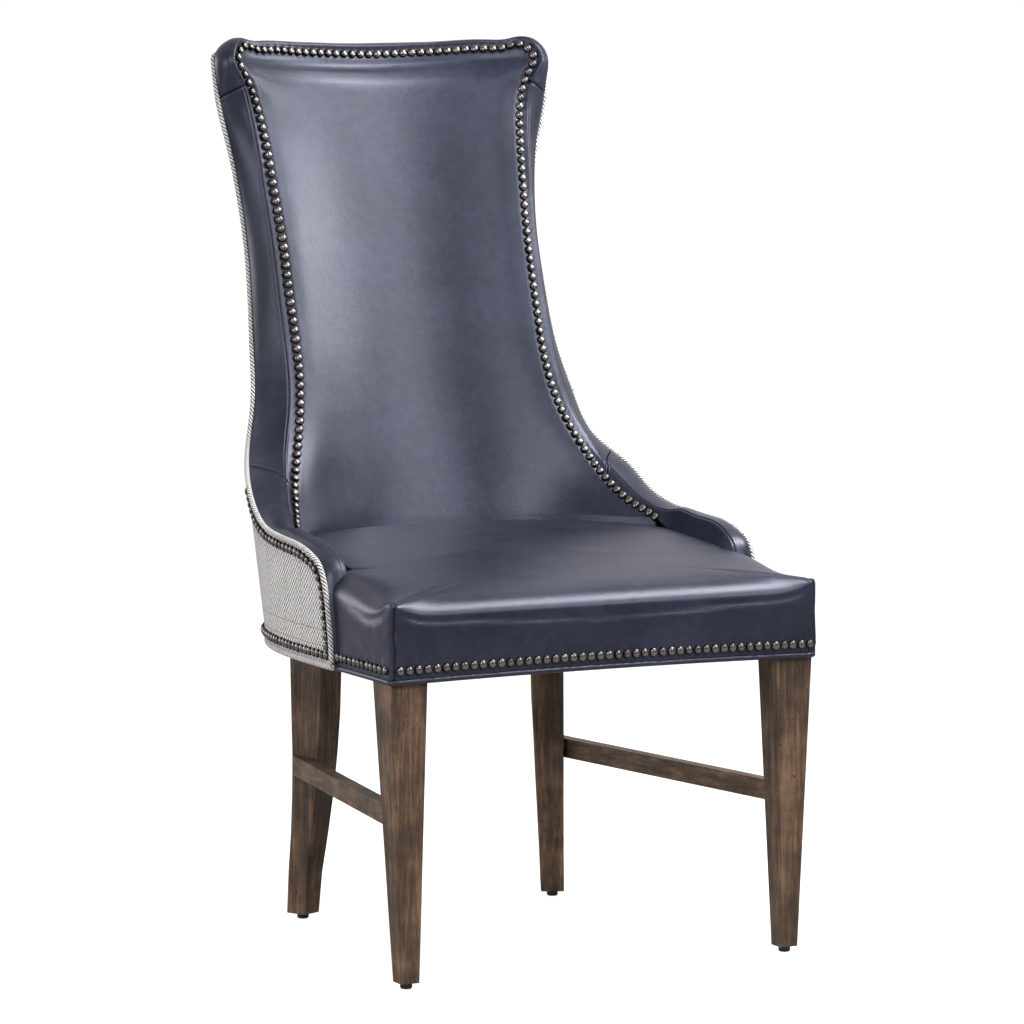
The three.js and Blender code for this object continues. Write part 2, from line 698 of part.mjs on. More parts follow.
function insideGrid() {
  const corner = SIDE_SHARES.length - 1;
  const rows = SIDE_SHARES.slice(0, corner).map((_, row) => insideRow(row));
  const tilt = STATIONS[MIDDLE].shelf;
  const tip = nailPoint(corner);
  const below = mix(nailPoint(corner - 1), tip, 0.5);
  const beside = innerPoint(corner, 1 - SHELF / tip.x, 0);
  const inside = beside.clone().addScaledVector(tilt, -SHELF);
  rows.push([flipped(below), flipped(inside), ...topRow(SHELF), inside, below]);
  rows.push([flipped(tip), flipped(beside), ...topRow(0), beside, tip]);
  const tucked = rows[0].map((p) => vec(p.x, p.y, SEAT_TUCK));
  return [tucked, ...rows];
}

// Leather coverings of the back and arms

const INSIDE = insideGrid();
const insideFace = trimmed(INSIDE, 0, EDGE_GAP / 2, EDGE_GAP / 2, EDGE_GAP / 2);
add("inside_back_cover", "leather", between(insideFace, behind(insideFace, LEATHER)));
addPair("side_border", "leather", leatherEdge(borderGrid(SEAM, EAR_SEAM)));
addPair("arm_cover", "leather", cut(leatherEdge(borderGrid(0, SEAM)), railRoom(1)));
add("crest_border", "leather", leatherEdge(crestGrid()));

// Padding

const CREST_KEELS = [
  ...Array.from({ length: MIDDLE - EAR_SEAM + 1 }, (_, i) => keel(EAR_SEAM + i)),
  ...Array.from({ length: MIDDLE - EAR_SEAM }, (_, i) => keel(MIDDLE - 1 - i, true)),
];
const keels = (from, to) => Array.from({ length: to - from + 1 }, (_, i) => keel(from + i));
addPair("arm_pad", "foam", cut(edgePad(borderGrid(0, SEAM), keels(0, SEAM)), railRoom(1)));
addPair("side_pad", "foam", edgePad(borderGrid(SEAM, EAR_SEAM), keels(SEAM, EAR_SEAM)));
add("crest_pad", "foam", edgePad(crestGrid(), CREST_KEELS));

// Foam of the back, and its frame of shaped boards on the same columns

const FRAME_SHARES = [-FRAME_EDGE_SHARE, ...PAD_SHARES, FRAME_EDGE_SHARE];
function innerGrid(crown) {
  const rows = SIDE_SHARES.slice(0, -1).map((_, row) =>
    FRAME_SHARES.map((across) => innerPoint(row, across, crown)),
  );
  const level = (z) => rows[0].map((p) => vec(p.x, p.y, z));
  return [level(RAIL_TOP + GAP), level(SEAT_TUCK), ...rows];
}
const part = (grid, rows, columns) => grid.slice(...rows).map((row) => row.slice(...columns));

const PADDED = behind(innerGrid(PAD_CROWN), LEATHER + GAP);
const FOAM_BACK = behind(innerGrid(0), BACK_FOAM);
add("back_foam", "foam", between(part(PADDED, ...FOAM_EXTENT), part(FOAM_BACK, ...FOAM_EXTENT)));

const BOARD_FRONT = behind(innerGrid(0), BACK_FOAM + GAP);
const BOARD_BACK = behind(innerGrid(0), BACK_FOAM + GAP + FRAME_BOARD);
function board(rows, columns, ends, sides) {
  const faces = [BOARD_FRONT, BOARD_BACK].map((grid) =>
    trimmed(part(grid, rows, columns), ends, ends, sides, sides),
  );
  return between(...faces);
}
addPair("back_stile", "frame", board(...STILE_EXTENT, 0, 0));
add("lumbar_rail", "frame", board(...LUMBAR_EXTENT, 0, EDGE_GAP));
add("crest_rail", "frame", board(...CREST_EXTENT, EDGE_GAP, 0));

// Tweed panels outside

const PANEL_BOTTOM = SKIRT_HEIGHT + 2 * BASE_ROLL_RADIUS + GAP;
const PANEL_SEAM_X = (PANEL_SEAM_SHARE * OUTER_WIDTH) / 2;
const LAST_COLUMN = PANEL_COLUMN_SHARES.length - 1;
const MIDDLE_COLUMN = LAST_COLUMN / 2;

function outsideBack() {
  const wing = weltPoint(SEAM_ROW);
  const rows = PANEL_ROW_SHARES.slice(0, -1).map((share) => {
    const z = lerp(PANEL_BOTTOM, wing.z, share);
    return [lerp(PANEL_SEAM_X, wing.x, share), z];
  });
  for (let row = SEAM_ROW; row < SIDE_SHARES.length; row++) {
    const { x, z } = weltPoint(row);
    rows.push([x, z]);
  }
  return rows.map(([half, z]) =>
    PANEL_COLUMN_SHARES.map((across) => vec(across * half, wallY(across * half, z), z)),
  );
}
const BACK_FACE = outsideBack();
const backPanel = trimmed(BACK_FACE, 0, EDGE_GAP, 2 * EDGE_GAP, 2 * EDGE_GAP);
add("outside_back", "tweed", cut(between(backPanel, behind(backPanel, TWEED, -1)), weltRoom));

function outsideArm() {
  const top = STATIONS.slice(1, SEAM + 1).toReversed();
  return top.map(({ outer }, i) => {
    if (i === 0) return BACK_FACE.slice(0, PANEL_ROW_SHARES.length).map((row) => row[LAST_COLUMN].clone());
    const share = i / (top.length - 1);
    const seamY = wallY(PANEL_SEAM_X, PANEL_BOTTOM);
    const y = lerp(seamY, ARM_SETBACK, share);
    return PANEL_ROW_SHARES.map((rise) => {
      const at = [lerp(y, outer.y, rise), lerp(PANEL_BOTTOM, outer.z, rise)];
      return vec(wallX(...at), ...at);
    });
  });
}
const ARM_FACE = outsideArm();
const armSheet = trimmed(ARM_FACE, EDGE_GAP, 0, 0, 0);
addPair("outside_arm", "tweed", cut(between(armSheet, behind(armSheet, TWEED)), weltRoom));

// Seat

// Plan of the seat, from the front's middle round the right side to the back's middle.
function seatHalf(inset) {
  const half = SEAT_WIDTH / 2 - inset;
  const inner = ARM_INNER_WIDTH / 2 - EDGE_GAP - inset;
  const shoulder = ARM_SETBACK - SHOULDER_CLEARANCE - inset;
  const corner = SEAT_CORNER - Math.min(inset, SEAT_CORNER / 2);
  const points = SEAT_FRONT_SHARES.map((share) => ({ x: half * share, y: inset, round: SEAT_EDGE_ROUND }));
  for (const turn of CORNER_TURNS) {
    const angle = degToRad(turn);
    points.push({
      x: half - corner * (1 - Math.sin(angle)),
      y: inset + corner * (1 - Math.cos(angle)),
      round: SEAT_EDGE_ROUND,
    });
  }
  points.push({ x: half, y: shoulder / 2, round: SEAT_EDGE_ROUND });
  points.push({ x: half, y: shoulder, round: SEAT_EDGE_ROUND });
  points.push({ x: inner, y: shoulder, round: SEAT_CREVICE_ROUND });
  points.push({ x: inner, y: (shoulder + nailPoint(0).y) / 2, round: SEAT_CREVICE_ROUND });
  const nail = nailPoint(0);
  const wall = [nail, ...insideRow(0).slice(...FOOT_COLUMNS).toReversed()];
  for (const p of wall) {
    const x = p.x * (1 - (EDGE_GAP + inset) / nail.x);
    points.push({ x, y: p.y - EDGE_GAP - inset, round: SEAT_CREVICE_ROUND });
  }
  return points;
}
function seatOutline(inset) {
  const right = seatHalf(inset);
  const left = right.slice(1, -1).toReversed();
  return [...right, ...left.map((p) => ({ ...p, x: -p.x }))];
}

function seatTop(x, y) {
  const back = clamp(y / SEAT_DEPTH, 0, 1);
  const across = clamp(x / (SEAT_WIDTH / 2), -1, 1);
  const slope = (SEAT_HEIGHT - SEAT_EDGE_HEIGHT) * (1 - (1 - back) ** SEAT_SLOPE_POWER);
  return SEAT_EDGE_HEIGHT + slope + SEAT_CROWN * (1 - across ** 2) * Math.sin(Math.PI * back);
}

const skirtArch = (p) => (p.y < SEAT_CORNER ? SKIRT_ARCH * (1 - (p.x / (SEAT_WIDTH / 2)) ** 2) : 0);

// A solid of the seat's shape: inset from its sides and lowered from its top by a depth.
function seatBlock(inset, bottom, arched, bulge) {
  const wide = seatOutline(inset);
  const narrow = seatOutline(inset + SEAT_EDGE_ROUND);
  const drawn = (share) =>
    wide.map((p, i) => {
      const inward = (share * p.round) / SEAT_EDGE_ROUND;
      return { x: lerp(p.x, narrow[i].x, inward), y: lerp(p.y, narrow[i].y, inward), round: p.round };
    });
  const level = (points, height) => points.map((p) => vec(p.x, p.y, height(p)));
  const edge = (share, sink) =>
    level(drawn(share), (p) => seatTop(p.x, p.y) - inset - sink * p.round);
  const swollen = seatOutline(inset - SEAT_BULGE);
  const side = wide.map((p, i) => (p.y > ARM_SETBACK / 2 + GAP ? p : swollen[i]));
  const middle = vec(0, SEAT_MIDDLE_SHARE * ARM_SETBACK, 0);
  const rim = drawn(1);
  const inner = (share) =>
    level(
      rim.map((p) => ({ x: lerp(middle.x, p.x, share), y: lerp(middle.y, p.y, share) })),
      (p) => seatTop(p.x, p.y) - inset,
    );
  const rings = [level(wide, (p) => bottom + (arched ? skirtArch(p) : 0))];
  if (bulge) rings.push(level(side, () => lerp(SKIRT_HEIGHT, SEAT_EDGE_HEIGHT, BULGE_HEIGHT_SHARE)));
  rings.push(edge(0, 1), edge(ROUND_SHARE, ROUND_SHARE), edge(1, 0), ...SEAT_RING_SHARES.map(inner));
  return loft(rings);
}

const COVER_BOTTOM = SKIRT_HEIGHT + 2 * SEAT_WELT_RADIUS + GAP;
const rearUnder = block(
  OUTER_WIDTH,
  SEAT_DEPTH,
  SKIRT_HEIGHT - OVERRUN,
  SEAT_TUCK,
  0,
  ARM_SETBACK - SHOULDER_CLEARANCE + SEAT_DEPTH / 2,
);
const shoulderUnder = block(
  2 * (RAIL_OUTER_X + GAP),
  2 * SEAT_CORNER,
  SKIRT_HEIGHT - OVERRUN,
  STRAP_TOP + GAP,
  0,
  ARM_SETBACK,
);
add(
  "seat_cover",
  "leather",
  cut(
    seatBlock(0, COVER_BOTTOM, true, true),
    seatBlock(LEATHER, SKIRT_HEIGHT - OVERRUN, false, false),
    rearUnder,
    shoulderUnder,
  ),
);
add("seat_foam", "foam", seatBlock(LEATHER + GAP, STRAP_TOP + GAP, false, false));

// Rails and blocks of the seat's frame

const RAIL_BACK = RAIL_INSET + RAIL_THICKNESS;
const FRONT_RAIL_BACK = FRONT_RAIL_INSET + RAIL_THICKNESS;
const wallBand = (from, to, steps, outer, inner) => [
  ...wallCurve(from, to, steps, SKIRT_HEIGHT, outer),
  ...wallCurve(to, from, steps, SKIRT_HEIGHT, inner),
];
const railSide = [
  vec(RAIL_INNER_X, FRONT_RAIL_BACK + GAP, 0),
  vec(RAIL_OUTER_X, FRONT_RAIL_BACK + GAP, 0),
  ...wallBand(SIDE_TURN, RAIL_JOINT, RAIL_STEPS, RAIL_INSET, RAIL_BACK),
];
addPair("side_rail", "frame", raised(railSide, RAIL_BOTTOM, RAIL_TOP));
const REAR_TURN = RAIL_JOINT + JOINT_GAP;
add(
  "rear_rail",
  "frame",
  raised(
    wallBand(REAR_TURN, 2 * BACK_TURN - REAR_TURN, REAR_RAIL_STEPS, RAIL_INSET, RAIL_BACK),
    RAIL_BOTTOM,
    RAIL_TOP,
  ),
);
add(
  "front_rail",
  "frame",
  block(
    2 * RAIL_OUTER_X,
    RAIL_THICKNESS,
    RAIL_BOTTOM,
    RAIL_TOP,
    0,
    FRONT_RAIL_INSET + RAIL_THICKNESS / 2,
  ),
);

const turn = degToRad(REAR_LEG_TURN);
const REARWARD = vec(Math.sin(turn), Math.cos(turn), 0);
const SIDEWARD = vec(Math.cos(turn), -Math.sin(turn), 0);
const FRONT_BOLT = vec(RAIL_INNER_X - BOLT_SETBACK, FRONT_RAIL_BACK + BOLT_SETBACK, 0);
const REAR_BOLT = vec(REAR_LEG.x, REAR_LEG.y, 0).addScaledVector(REARWARD, -REAR_BOLT_SETBACK);
const boltHole = (at, low, high) => rod(BOLT_RADIUS + GAP, low, high, at.x, at.y);
const BLOCK_TOP = RAIL_BOTTOM + BLOCK_HEIGHT;

const frontCorner = vec(RAIL_INNER_X - GAP, FRONT_RAIL_BACK + GAP, 0);
const frontBlock = [
  frontCorner,
  frontCorner.clone().add(vec(0, BLOCK_REACH, 0)),
  frontCorner.clone().add(vec(-BLOCK_REACH, 0, 0)),
];
const rearArc = wallCurve(...REAR_BLOCK_TURNS, REAR_BLOCK_STEPS, SKIRT_HEIGHT, RAIL_BACK + 2 * GAP);
const rearBlock = [
  ...rearArc,
  rearArc[REAR_BLOCK_STEPS].clone().addScaledVector(REARWARD, -REAR_BLOCK_DEPTH),
  rearArc[0].clone().addScaledVector(REARWARD, -REAR_BLOCK_DEPTH),
];
function cornerBlock(outline, bolt) {
  return cut(
    raised(outline, RAIL_BOTTOM, BLOCK_TOP),
    boltHole(bolt, RAIL_BOTTOM - OVERRUN, BLOCK_TOP + OVERRUN),
  );
}
addPair("front_block", "frame", cornerBlock(frontBlock, FRONT_BOLT));
addPair("rear_block", "frame", cornerBlock(rearBlock, REAR_BOLT));

// A bolt from the leg's top up through the block, with a nut on it.
function legBolt(at) {
  return joined(
    rod(BOLT_RADIUS, LEG_TOP - BOLT_DEPTH + GAP, BLOCK_TOP + 2 * NUT_HEIGHT, at.x, at.y),
    rod(NUT_RADIUS, BLOCK_TOP + GAP, BLOCK_TOP + GAP + NUT_HEIGHT, at.x, at.y, NUT_SIDES),
  );
}
addPair("front_leg_bolt", "steel", legBolt(FRONT_BOLT));
addPair("rear_leg_bolt", "steel", legBolt(REAR_BOLT));

// Legs

const LEG_FOOT = GLIDE_HEIGHT + GAP;

// A four-sided section with its corners taken off.
function legRing(centre, acrossAxis, alongAxis, width, depth) {
  const ring = [];
  for (const [a, b] of [[1, 1], [-1, 1], [-1, -1], [1, -1]]) {
    const ends = [
      [width / 2 - LEG_CHAMFER, depth / 2],
      [width / 2, depth / 2 - LEG_CHAMFER],
    ];
    if (a * b > 0) ends.reverse();
    for (const [across, along] of ends) {
      ring.push(centre.clone().addScaledVector(acrossAxis, a * across).addScaledVector(alongAxis, b * along));
    }
  }
  return ring;
}

function frontLeg(grown) {
  const ring = (x, y, z, width) =>
    legRing(vec(x, y, z), vec(1, 0, 0), vec(0, 1, 0), width + grown, width + grown);
  const shoulder = SKIRT_HEIGHT - GAP;
  return loft([
    ring(FRONT_LEG_FOOT_X, FRONT_LEG_FOOT_Y, LEG_FOOT, FRONT_LEG_FOOT),
    ring(FRONT_LEG_X, FRONT_LEG_Y, shoulder, FRONT_LEG_TOP),
    ring(FRONT_LEG_X, FRONT_LEG_Y, shoulder, FRONT_LEG_TOP - 2 * LEG_SHOULDER),
    ring(FRONT_LEG_X, FRONT_LEG_Y, LEG_TOP, FRONT_LEG_TOP - 2 * LEG_SHOULDER),
  ]);
}

function rearLeg(grown) {
  const rows = REAR_LEG_SHARES.map(([height, width, depth, splay, sweep]) =>
    legRing(
      vec(
        REAR_LEG.x + REAR_LEG_SPLAY * splay,
        REAR_LEG.y + REAR_LEG_SWEEP * sweep,
        lerp(LEG_FOOT, REAR_LEG_CURVE_HEIGHT, height),
      ),
      SIDEWARD,
      REARWARD,
      lerp(REAR_LEG_FOOT, REAR_LEG_WIDTH, width) + grown,
      lerp(REAR_LEG_FOOT, REAR_LEG_DEPTH, depth) + grown,
    ),
  );
  const top = rows[0].map((p) => vec(p.x, p.y, LEG_TOP));
  return loft([top, ...rows]);
}

const legHole = (at) => boltHole(at, LEG_TOP - BOLT_DEPTH, LEG_TOP + OVERRUN);
addPair("front_leg", "leg", cut(frontLeg(0), legHole(FRONT_BOLT)));
addPair("rear_leg", "leg", cut(rearLeg(0), legHole(REAR_BOLT)));

// A stretcher from the front leg's back to the rear leg's outer side.
function stretcher() {
  const front = vec(FRONT_LEG_X + STRETCHER_FRONT_OUT, FRONT_LEG_Y + STRETCHER_FRONT_BACK, 0);
  const rear = vec(REAR_LEG.x + STRETCHER_REAR_OUT, REAR_LEG.y + STRETCHER_REAR_BACK, 0);
  const run = rear.clone().sub(front).normalize();
  const inward = vec(-run.y, run.x, 0).multiplyScalar(STRETCHER_THICKNESS);
  const outline = [front, rear, rear.clone().add(inward), front.clone().add(inward)];
  const bar = raised(outline, STRETCHER_TOP - STRETCHER_HEIGHT, STRETCHER_TOP);
  return cut(bar, frontLeg(2 * GAP), rearLeg(2 * GAP));
}
addPair("side_stretcher", "leg", stretcher());

function glide(x, y) {
  const profile = [
    [0, 0],
    [GLIDE_RADIUS - GLIDE_EDGE, 0],
    [GLIDE_RADIUS, GLIDE_EDGE],
    [GLIDE_RADIUS, GLIDE_HEIGHT],
    [0, GLIDE_HEIGHT],
  ].map(([radius, height]) => new THREE.Vector2(radius, height));
  return new THREE.LatheGeometry(profile, GLIDE_SIDES).rotateX(Math.PI / 2).translate(x, y, 0);
}
addPair("front_glide", "glide", glide(FRONT_LEG_FOOT_X, FRONT_LEG_FOOT_Y));
addPair("rear_glide", "glide", glide(REAR_LEG.x + REAR_LEG_SPLAY, REAR_LEG.y + REAR_LEG_SWEEP));

// Arm panels: boards on the side rails under the arm pads

function armPanel() {
  const upright = STATIONS.slice(PANEL_STATION, FIRST_SIDE).map(({ inner, outer, lifted }) =>
    mix(inner, outer, 0.5).addScaledVector(lifted, -PAD_DROP - PANEL_DROP),
  );
  const front = upright[0];
  const rear = upright[upright.length - 1];
  const outline = [
    vec(front.y, RAIL_TOP + GAP, 0),
    ...upright.map((p) => vec(p.y, p.z, 0)),
    vec(rear.y, RAIL_TOP + GAP, 0),
  ];
  const panel = raised(outline, 0, ARM_PANEL_THICKNESS);
  return panel.rotateX(Math.PI / 2).rotateZ(Math.PI / 2).translate(RAIL_OUTER_X - ARM_PANEL_THICKNESS, 0, 0);
}
addPair("arm_panel", "frame", armPanel());

// Webbing straps, and the cloth under the seat

const LOWER_STRAP = RAIL_TOP + GAP;
const UPPER_STRAP = LOWER_STRAP + STRAP_THICKNESS + GAP;
const strapLength = 2 * (RAIL_INNER_X + STRAP_REST);
for (const [i, place] of ["front", "rear"].entries()) {
  const y = STRAP_SHARES[i] * SEAT_DEPTH;
  add(
    place + "_cross_strap",
    "strap",
    block(strapLength, STRAP_WIDTH, LOWER_STRAP, LOWER_STRAP + STRAP_THICKNESS, 0, y),
  );
}
const strapFront = FRONT_RAIL_BACK - STRAP_REST;
const strapRear = wallCurve(STRAP_TURN, STRAP_TURN, 1, SKIRT_HEIGHT, RAIL_BACK - STRAP_REST)[0].y;
addPair(
  "long_strap",
  "strap",
  block(
    STRAP_WIDTH,
    strapRear - strapFront,
    UPPER_STRAP,
    UPPER_STRAP + STRAP_THICKNESS,
    STRAP_SPREAD / 2,
    (strapFront + strapRear) / 2,
  ),
);

const dustSide = [
  vec(RAIL_OUTER_X, FRONT_RAIL_INSET, 0),
  ...wallCurve(SIDE_TURN, BACK_TURN, 2 * RAIL_STEPS, SKIRT_HEIGHT, RAIL_INSET),
];
const dustOutline = [...dustSide, ...dustSide.slice(0, -1).toReversed().map(flipped)];
function dustCover() {
  const sheet = toSolid(raised(dustOutline, RAIL_BOTTOM - GAP - DUST_THICKNESS, RAIL_BOTTOM - GAP));
  const holes = [frontLeg, rearLeg].map((leg) => toSolid(leg(4 * GAP).translate(0, 0, 2 * GAP)));
  return toGeometry(
    holes.reduce((solid, hole) => solid.subtract(hole).subtract(hole.mirror([1, 0, 0])), sheet),
  );
}
add("dust_cover", "dust", dustCover());

// Welts and nail rows

add("back_welt", "tweed", cord(WELT_PATH, WELT_FACINGS, WELT_RADIUS, CORD_SIDES));

const flippedMark = ({ at, side, facing }) => ({
  at: flipped(at),
  side: flipped(side),
  facing: flipped(facing),
});
const mirroredMarks = (marks) => [...marks, ...marks.slice(0, -1).toReversed().map(flippedMark)];

const insideMarks = STATIONS.slice(FIRST_SIDE).map(({ inner, shelf, facing }) => ({
  at: inner.clone(),
  side: shelf,
  facing,
}));
add("inside_back_nails", "nail", band(mirroredMarks(insideMarks)));

// A mark on a rising line of a panel, at a height.
function markAtHeight(line, z, facing) {
  const i = Math.max(line.findIndex((p) => p.z > z), 1);
  const side = line[i].clone().sub(line[i - 1]).normalize();
  const at = mix(line[i - 1], line[i], (z - line[i - 1].z) / (line[i].z - line[i - 1].z));
  return { at, side, facing: facing.clone() };
}

const column = (grid, c) => grid.map((row) => row[c]);
const BACK_NORMALS = gridNormals(BACK_FACE, -1);
const ARM_NORMALS = gridNormals(ARM_FACE, 1);
const backLines = Array.from({ length: MIDDLE_COLUMN + 1 }, (_, i) => LAST_COLUMN - i);

// The outer wall's outward direction at a point.
function wallFacing(p) {
  const level = ({ x, y, z }) => {
    const { half, deep, power } = wallAt(z);
    return Math.abs(x / half) ** power + (Math.max(y - WALL_START, 0) / deep) ** power;
  };
  const slope = (step) => level(p.clone().add(step)) - level(p.clone().sub(step));
  return vec(slope(vec(GAP, 0, 0)), slope(vec(0, GAP, 0)), slope(vec(0, 0, GAP))).normalize();
}

// The nail row on the outside of an arm, beside the welt.
const armMarks = STATIONS.slice(1, SEAM).map(({ outer, lifted }) => {
  const facing = wallFacing(outer);
  const side = lifted.clone().negate();
  side.addScaledVector(facing, -side.dot(facing)).normalize();
  const at = outer.clone().addScaledVector(side, EDGE_NAIL_INSET);
  at.x = wallX(at.y, at.z);
  return { at, side, facing };
});
addPair("arm_nails", "nail", band(armMarks));

function wallMarks(z) {
  const arm = ARM_FACE.map((line, i) => markAtHeight(line, z, ARM_NORMALS[i][0])).toReversed();
  const back = backLines.map((c) => markAtHeight(column(BACK_FACE, c), z, BACK_NORMALS[0][c]));
  return [...arm, ...back.slice(1)];
}
const baseMarks = wallMarks(NAIL_ROW_HEIGHT);
baseMarks[0].at.y += 2 * WELT_RADIUS + GAP;
add("base_nails", "nail", band(mirroredMarks(baseMarks)));

const rollMarks = mirroredMarks(wallMarks(PANEL_BOTTOM));
const rollPath = rollMarks
  .map(({ at, facing }) => at.clone().addScaledVector(facing, -BASE_ROLL_RADIUS / 2))
  .map((p) => vec(p.x, p.y, SKIRT_HEIGHT + BASE_ROLL_RADIUS));
const rollFacings = rollMarks.map(({ facing }) => vec(facing.x, facing.y, 0).normalize());
add("base_welt", "tweed", cord(rollPath, rollFacings, BASE_ROLL_RADIUS, ROLL_SIDES));

// The seat's front run, from the right shoulder round the front to the left one.
function seatRun(inset, height) {
  const half = seatHalf(inset).slice(0, SEAT_RUN_POINTS).toReversed();
  return mirrored(half.map((p) => vec(p.x, p.y, height + skirtArch(p))));
}
const runFacings = (path) => tangents(path).map((run) => vec(-run.y, run.x, 0).normalize());
const seatWeltPath = seatRun(SEAT_WELT_RADIUS / 2, SKIRT_HEIGHT + SEAT_WELT_RADIUS);
add("seat_welt", "leather", cord(seatWeltPath, runFacings(seatWeltPath), SEAT_WELT_RADIUS, ROLL_SIDES));

const seatNailPath = seatRun(-NAIL_REST_SHARE * SEAT_BULGE, NAIL_ROW_HEIGHT);
const seatNailFacings = runFacings(seatNailPath);
add(
  "seat_nails",
  "nail",
  band(seatNailPath.map((at, i) => ({ at, side: UP, facing: seatNailFacings[i] }))),
);

const box = new THREE.Box3().setFromObject(chair);
chair.position.y = -(box.min.y + box.max.y) / 2;

export default chair;
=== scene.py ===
"""Leather side chair: upholstery, nails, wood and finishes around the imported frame.

Metres, +Z up, the chair faces -Y. The upholstery's shapes are worked out in millimetres,
with y = 0 at the seat's front face, and go to metres when a mesh is made.
"""

import json
import math

import bpy
import numpy as np
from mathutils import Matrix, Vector


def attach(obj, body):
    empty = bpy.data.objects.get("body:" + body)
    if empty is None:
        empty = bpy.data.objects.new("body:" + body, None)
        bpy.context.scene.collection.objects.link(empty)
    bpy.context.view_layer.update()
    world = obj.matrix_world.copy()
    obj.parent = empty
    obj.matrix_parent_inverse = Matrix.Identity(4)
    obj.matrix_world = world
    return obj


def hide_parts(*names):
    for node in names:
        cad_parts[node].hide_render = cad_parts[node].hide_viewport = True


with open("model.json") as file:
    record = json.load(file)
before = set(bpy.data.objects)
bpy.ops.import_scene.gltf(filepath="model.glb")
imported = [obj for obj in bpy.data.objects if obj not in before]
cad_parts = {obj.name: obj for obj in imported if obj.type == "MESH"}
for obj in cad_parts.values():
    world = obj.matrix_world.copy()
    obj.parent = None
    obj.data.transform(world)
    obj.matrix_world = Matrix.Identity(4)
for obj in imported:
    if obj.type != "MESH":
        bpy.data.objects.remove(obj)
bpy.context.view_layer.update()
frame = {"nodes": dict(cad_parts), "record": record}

MM = 0.001
FRONT_Y = -340.92  # the seat's front face in the frame

# Seat
SEAT_WIDTH = 550
SEAT_DEPTH = 473
SEAT_HEIGHT = 477
SEAT_EDGE_HEIGHT = 441
SEAT_CORNER = 9
SKIRT_HEIGHT = 349
SKIRT_ARCH = 3

# Arms and back
ARM_SETBACK = 148
ARM_LENGTH = 258
ARM_HEIGHT = 142
ARM_INNER_WIDTH = 482
OUTER_WIDTH = 560
ARM_WIDTH = 39
WALL_START = 157
WALL_BLEND = 0.035  # the outer wall is evened over this share of its height, up and down
BACK_HEIGHT = 1043
BACK_RAKE = 16.5
EAR_WIDTH = 402
BASE_DEPTH = 529
OUTER_LEAN = 154
TOP_RISE = 10
PAD_CROWN = 11
SHELF = 5.5
RISE = BACK_HEIGHT - SEAT_HEIGHT

# Trims
WELT_RADIUS = 3.1
SEAT_WELT_RADIUS = 3.3
BASE_ROLL_RADIUS = 4
NAIL_PITCH = 11.5
NAIL_WIDTH = 10.92
NAIL_RISE = 3.6
NAIL_CUT = -0.12  # where the unit ball is cut off below its widest place
NAIL_ROW_HEIGHT = 365.5
NAIL_STAND = 0.8
NAIL_TILT = 0.07
NAIL_SINK = 0.25
NAIL_WEAR = 0.12
SIDE_NAIL_START = 13
EDGE_NAIL_INSET = 9.5
PANEL_SEAM_X = 238
PANEL_BOTTOM = SKIRT_HEIGHT + 2 * BASE_ROLL_RADIUS
PANEL_THICKNESS = 2.5
STITCH_INSET = 5.5
STITCH_PITCH = 3.6
STITCH_LENGTH = 2.7
STITCH_RADIUS = 0.42
STITCH_SIDES = 6
STITCH_RINGS = [(-0.5, 0.25), (-0.34, 0.9), (0, 1), (0.34, 0.9), (0.5, 0.25)]  # place, size

# One side of the back's edge from the arm up to the ear's corner: the nail row's share of
# EAR_WIDTH / 2, of SEAT_DEPTH and of the back's rise, then the outer welt's share of
# BASE_DEPTH and of the back's rise.
SIDE_SHARES = [
    [1.186, 0.697, 0.012, 0.673, 0.036],
    [1.112, 0.782, 0.043, 0.752, 0.065],
    [1.041, 0.857, 0.089, 0.822, 0.111],
    [0.969, 0.915, 0.147, 0.922, 0.173],
    [0.869, 0.984, 0.247, 0.964, 0.267],
    [0.825, 1.035, 0.36, 1.011, 0.366],
    [0.824, 1.081, 0.477, 1.045, 0.468],
    [0.824, 1.122, 0.594, 1.08, 0.581],
    [0.841, 1.163, 0.71, 1.106, 0.694],
    [0.864, 1.201, 0.827, 1.121, 0.806],
    [0.9, 1.227, 0.905, 1.124, 0.876],
    [0.936, 1.232, 0.943, 1.127, 0.91],
    [0.985, 1.229, 0.975, 1.134, 0.949],
    [1, 1.235, 0.998, 1.139, 0.981],
    [0.955, 1.254, 1.018, 1.144, 1],
]
SEAM_ROW = 2
EAR_SEAM_ROW = 11
TOP_SHARES = [0.9, 0.75, 0.55, 0.3, 0]
CREST_BLEND = [10, 3]

# The arm's edge from its front foot up: shares of ARM_LENGTH and ARM_HEIGHT for the welt,
# then for the arm's inner edge, then the ridge's place and its lift.
ARM_SHARES = [
    [0, 0.06, 0, 0.06, 0.25, 0.02],
    [0.008, 0.254, 0.008, 0.218, 0.25, 0.02],
    [0.027, 0.465, 0.027, 0.394, 0.25, 0.02],
    [0.05, 0.641, 0.05, 0.535, 0.3, 0.03],
    [0.074, 0.746, 0.074, 0.61, 0.4, 0.06],
    [0.112, 0.834, 0.1, 0.67, 0.5, 0.1],
    [0.19, 0.901, 0.151, 0.71, 0.58, 0.13],
    [0.306, 0.954, 0.236, 0.75, 0.6, 0.14],
    [0.461, 0.979, 0.345, 0.77, 0.6, 0.14],
    [0.636, 1, 0.52, 0.8, 0.6, 0.14],
]

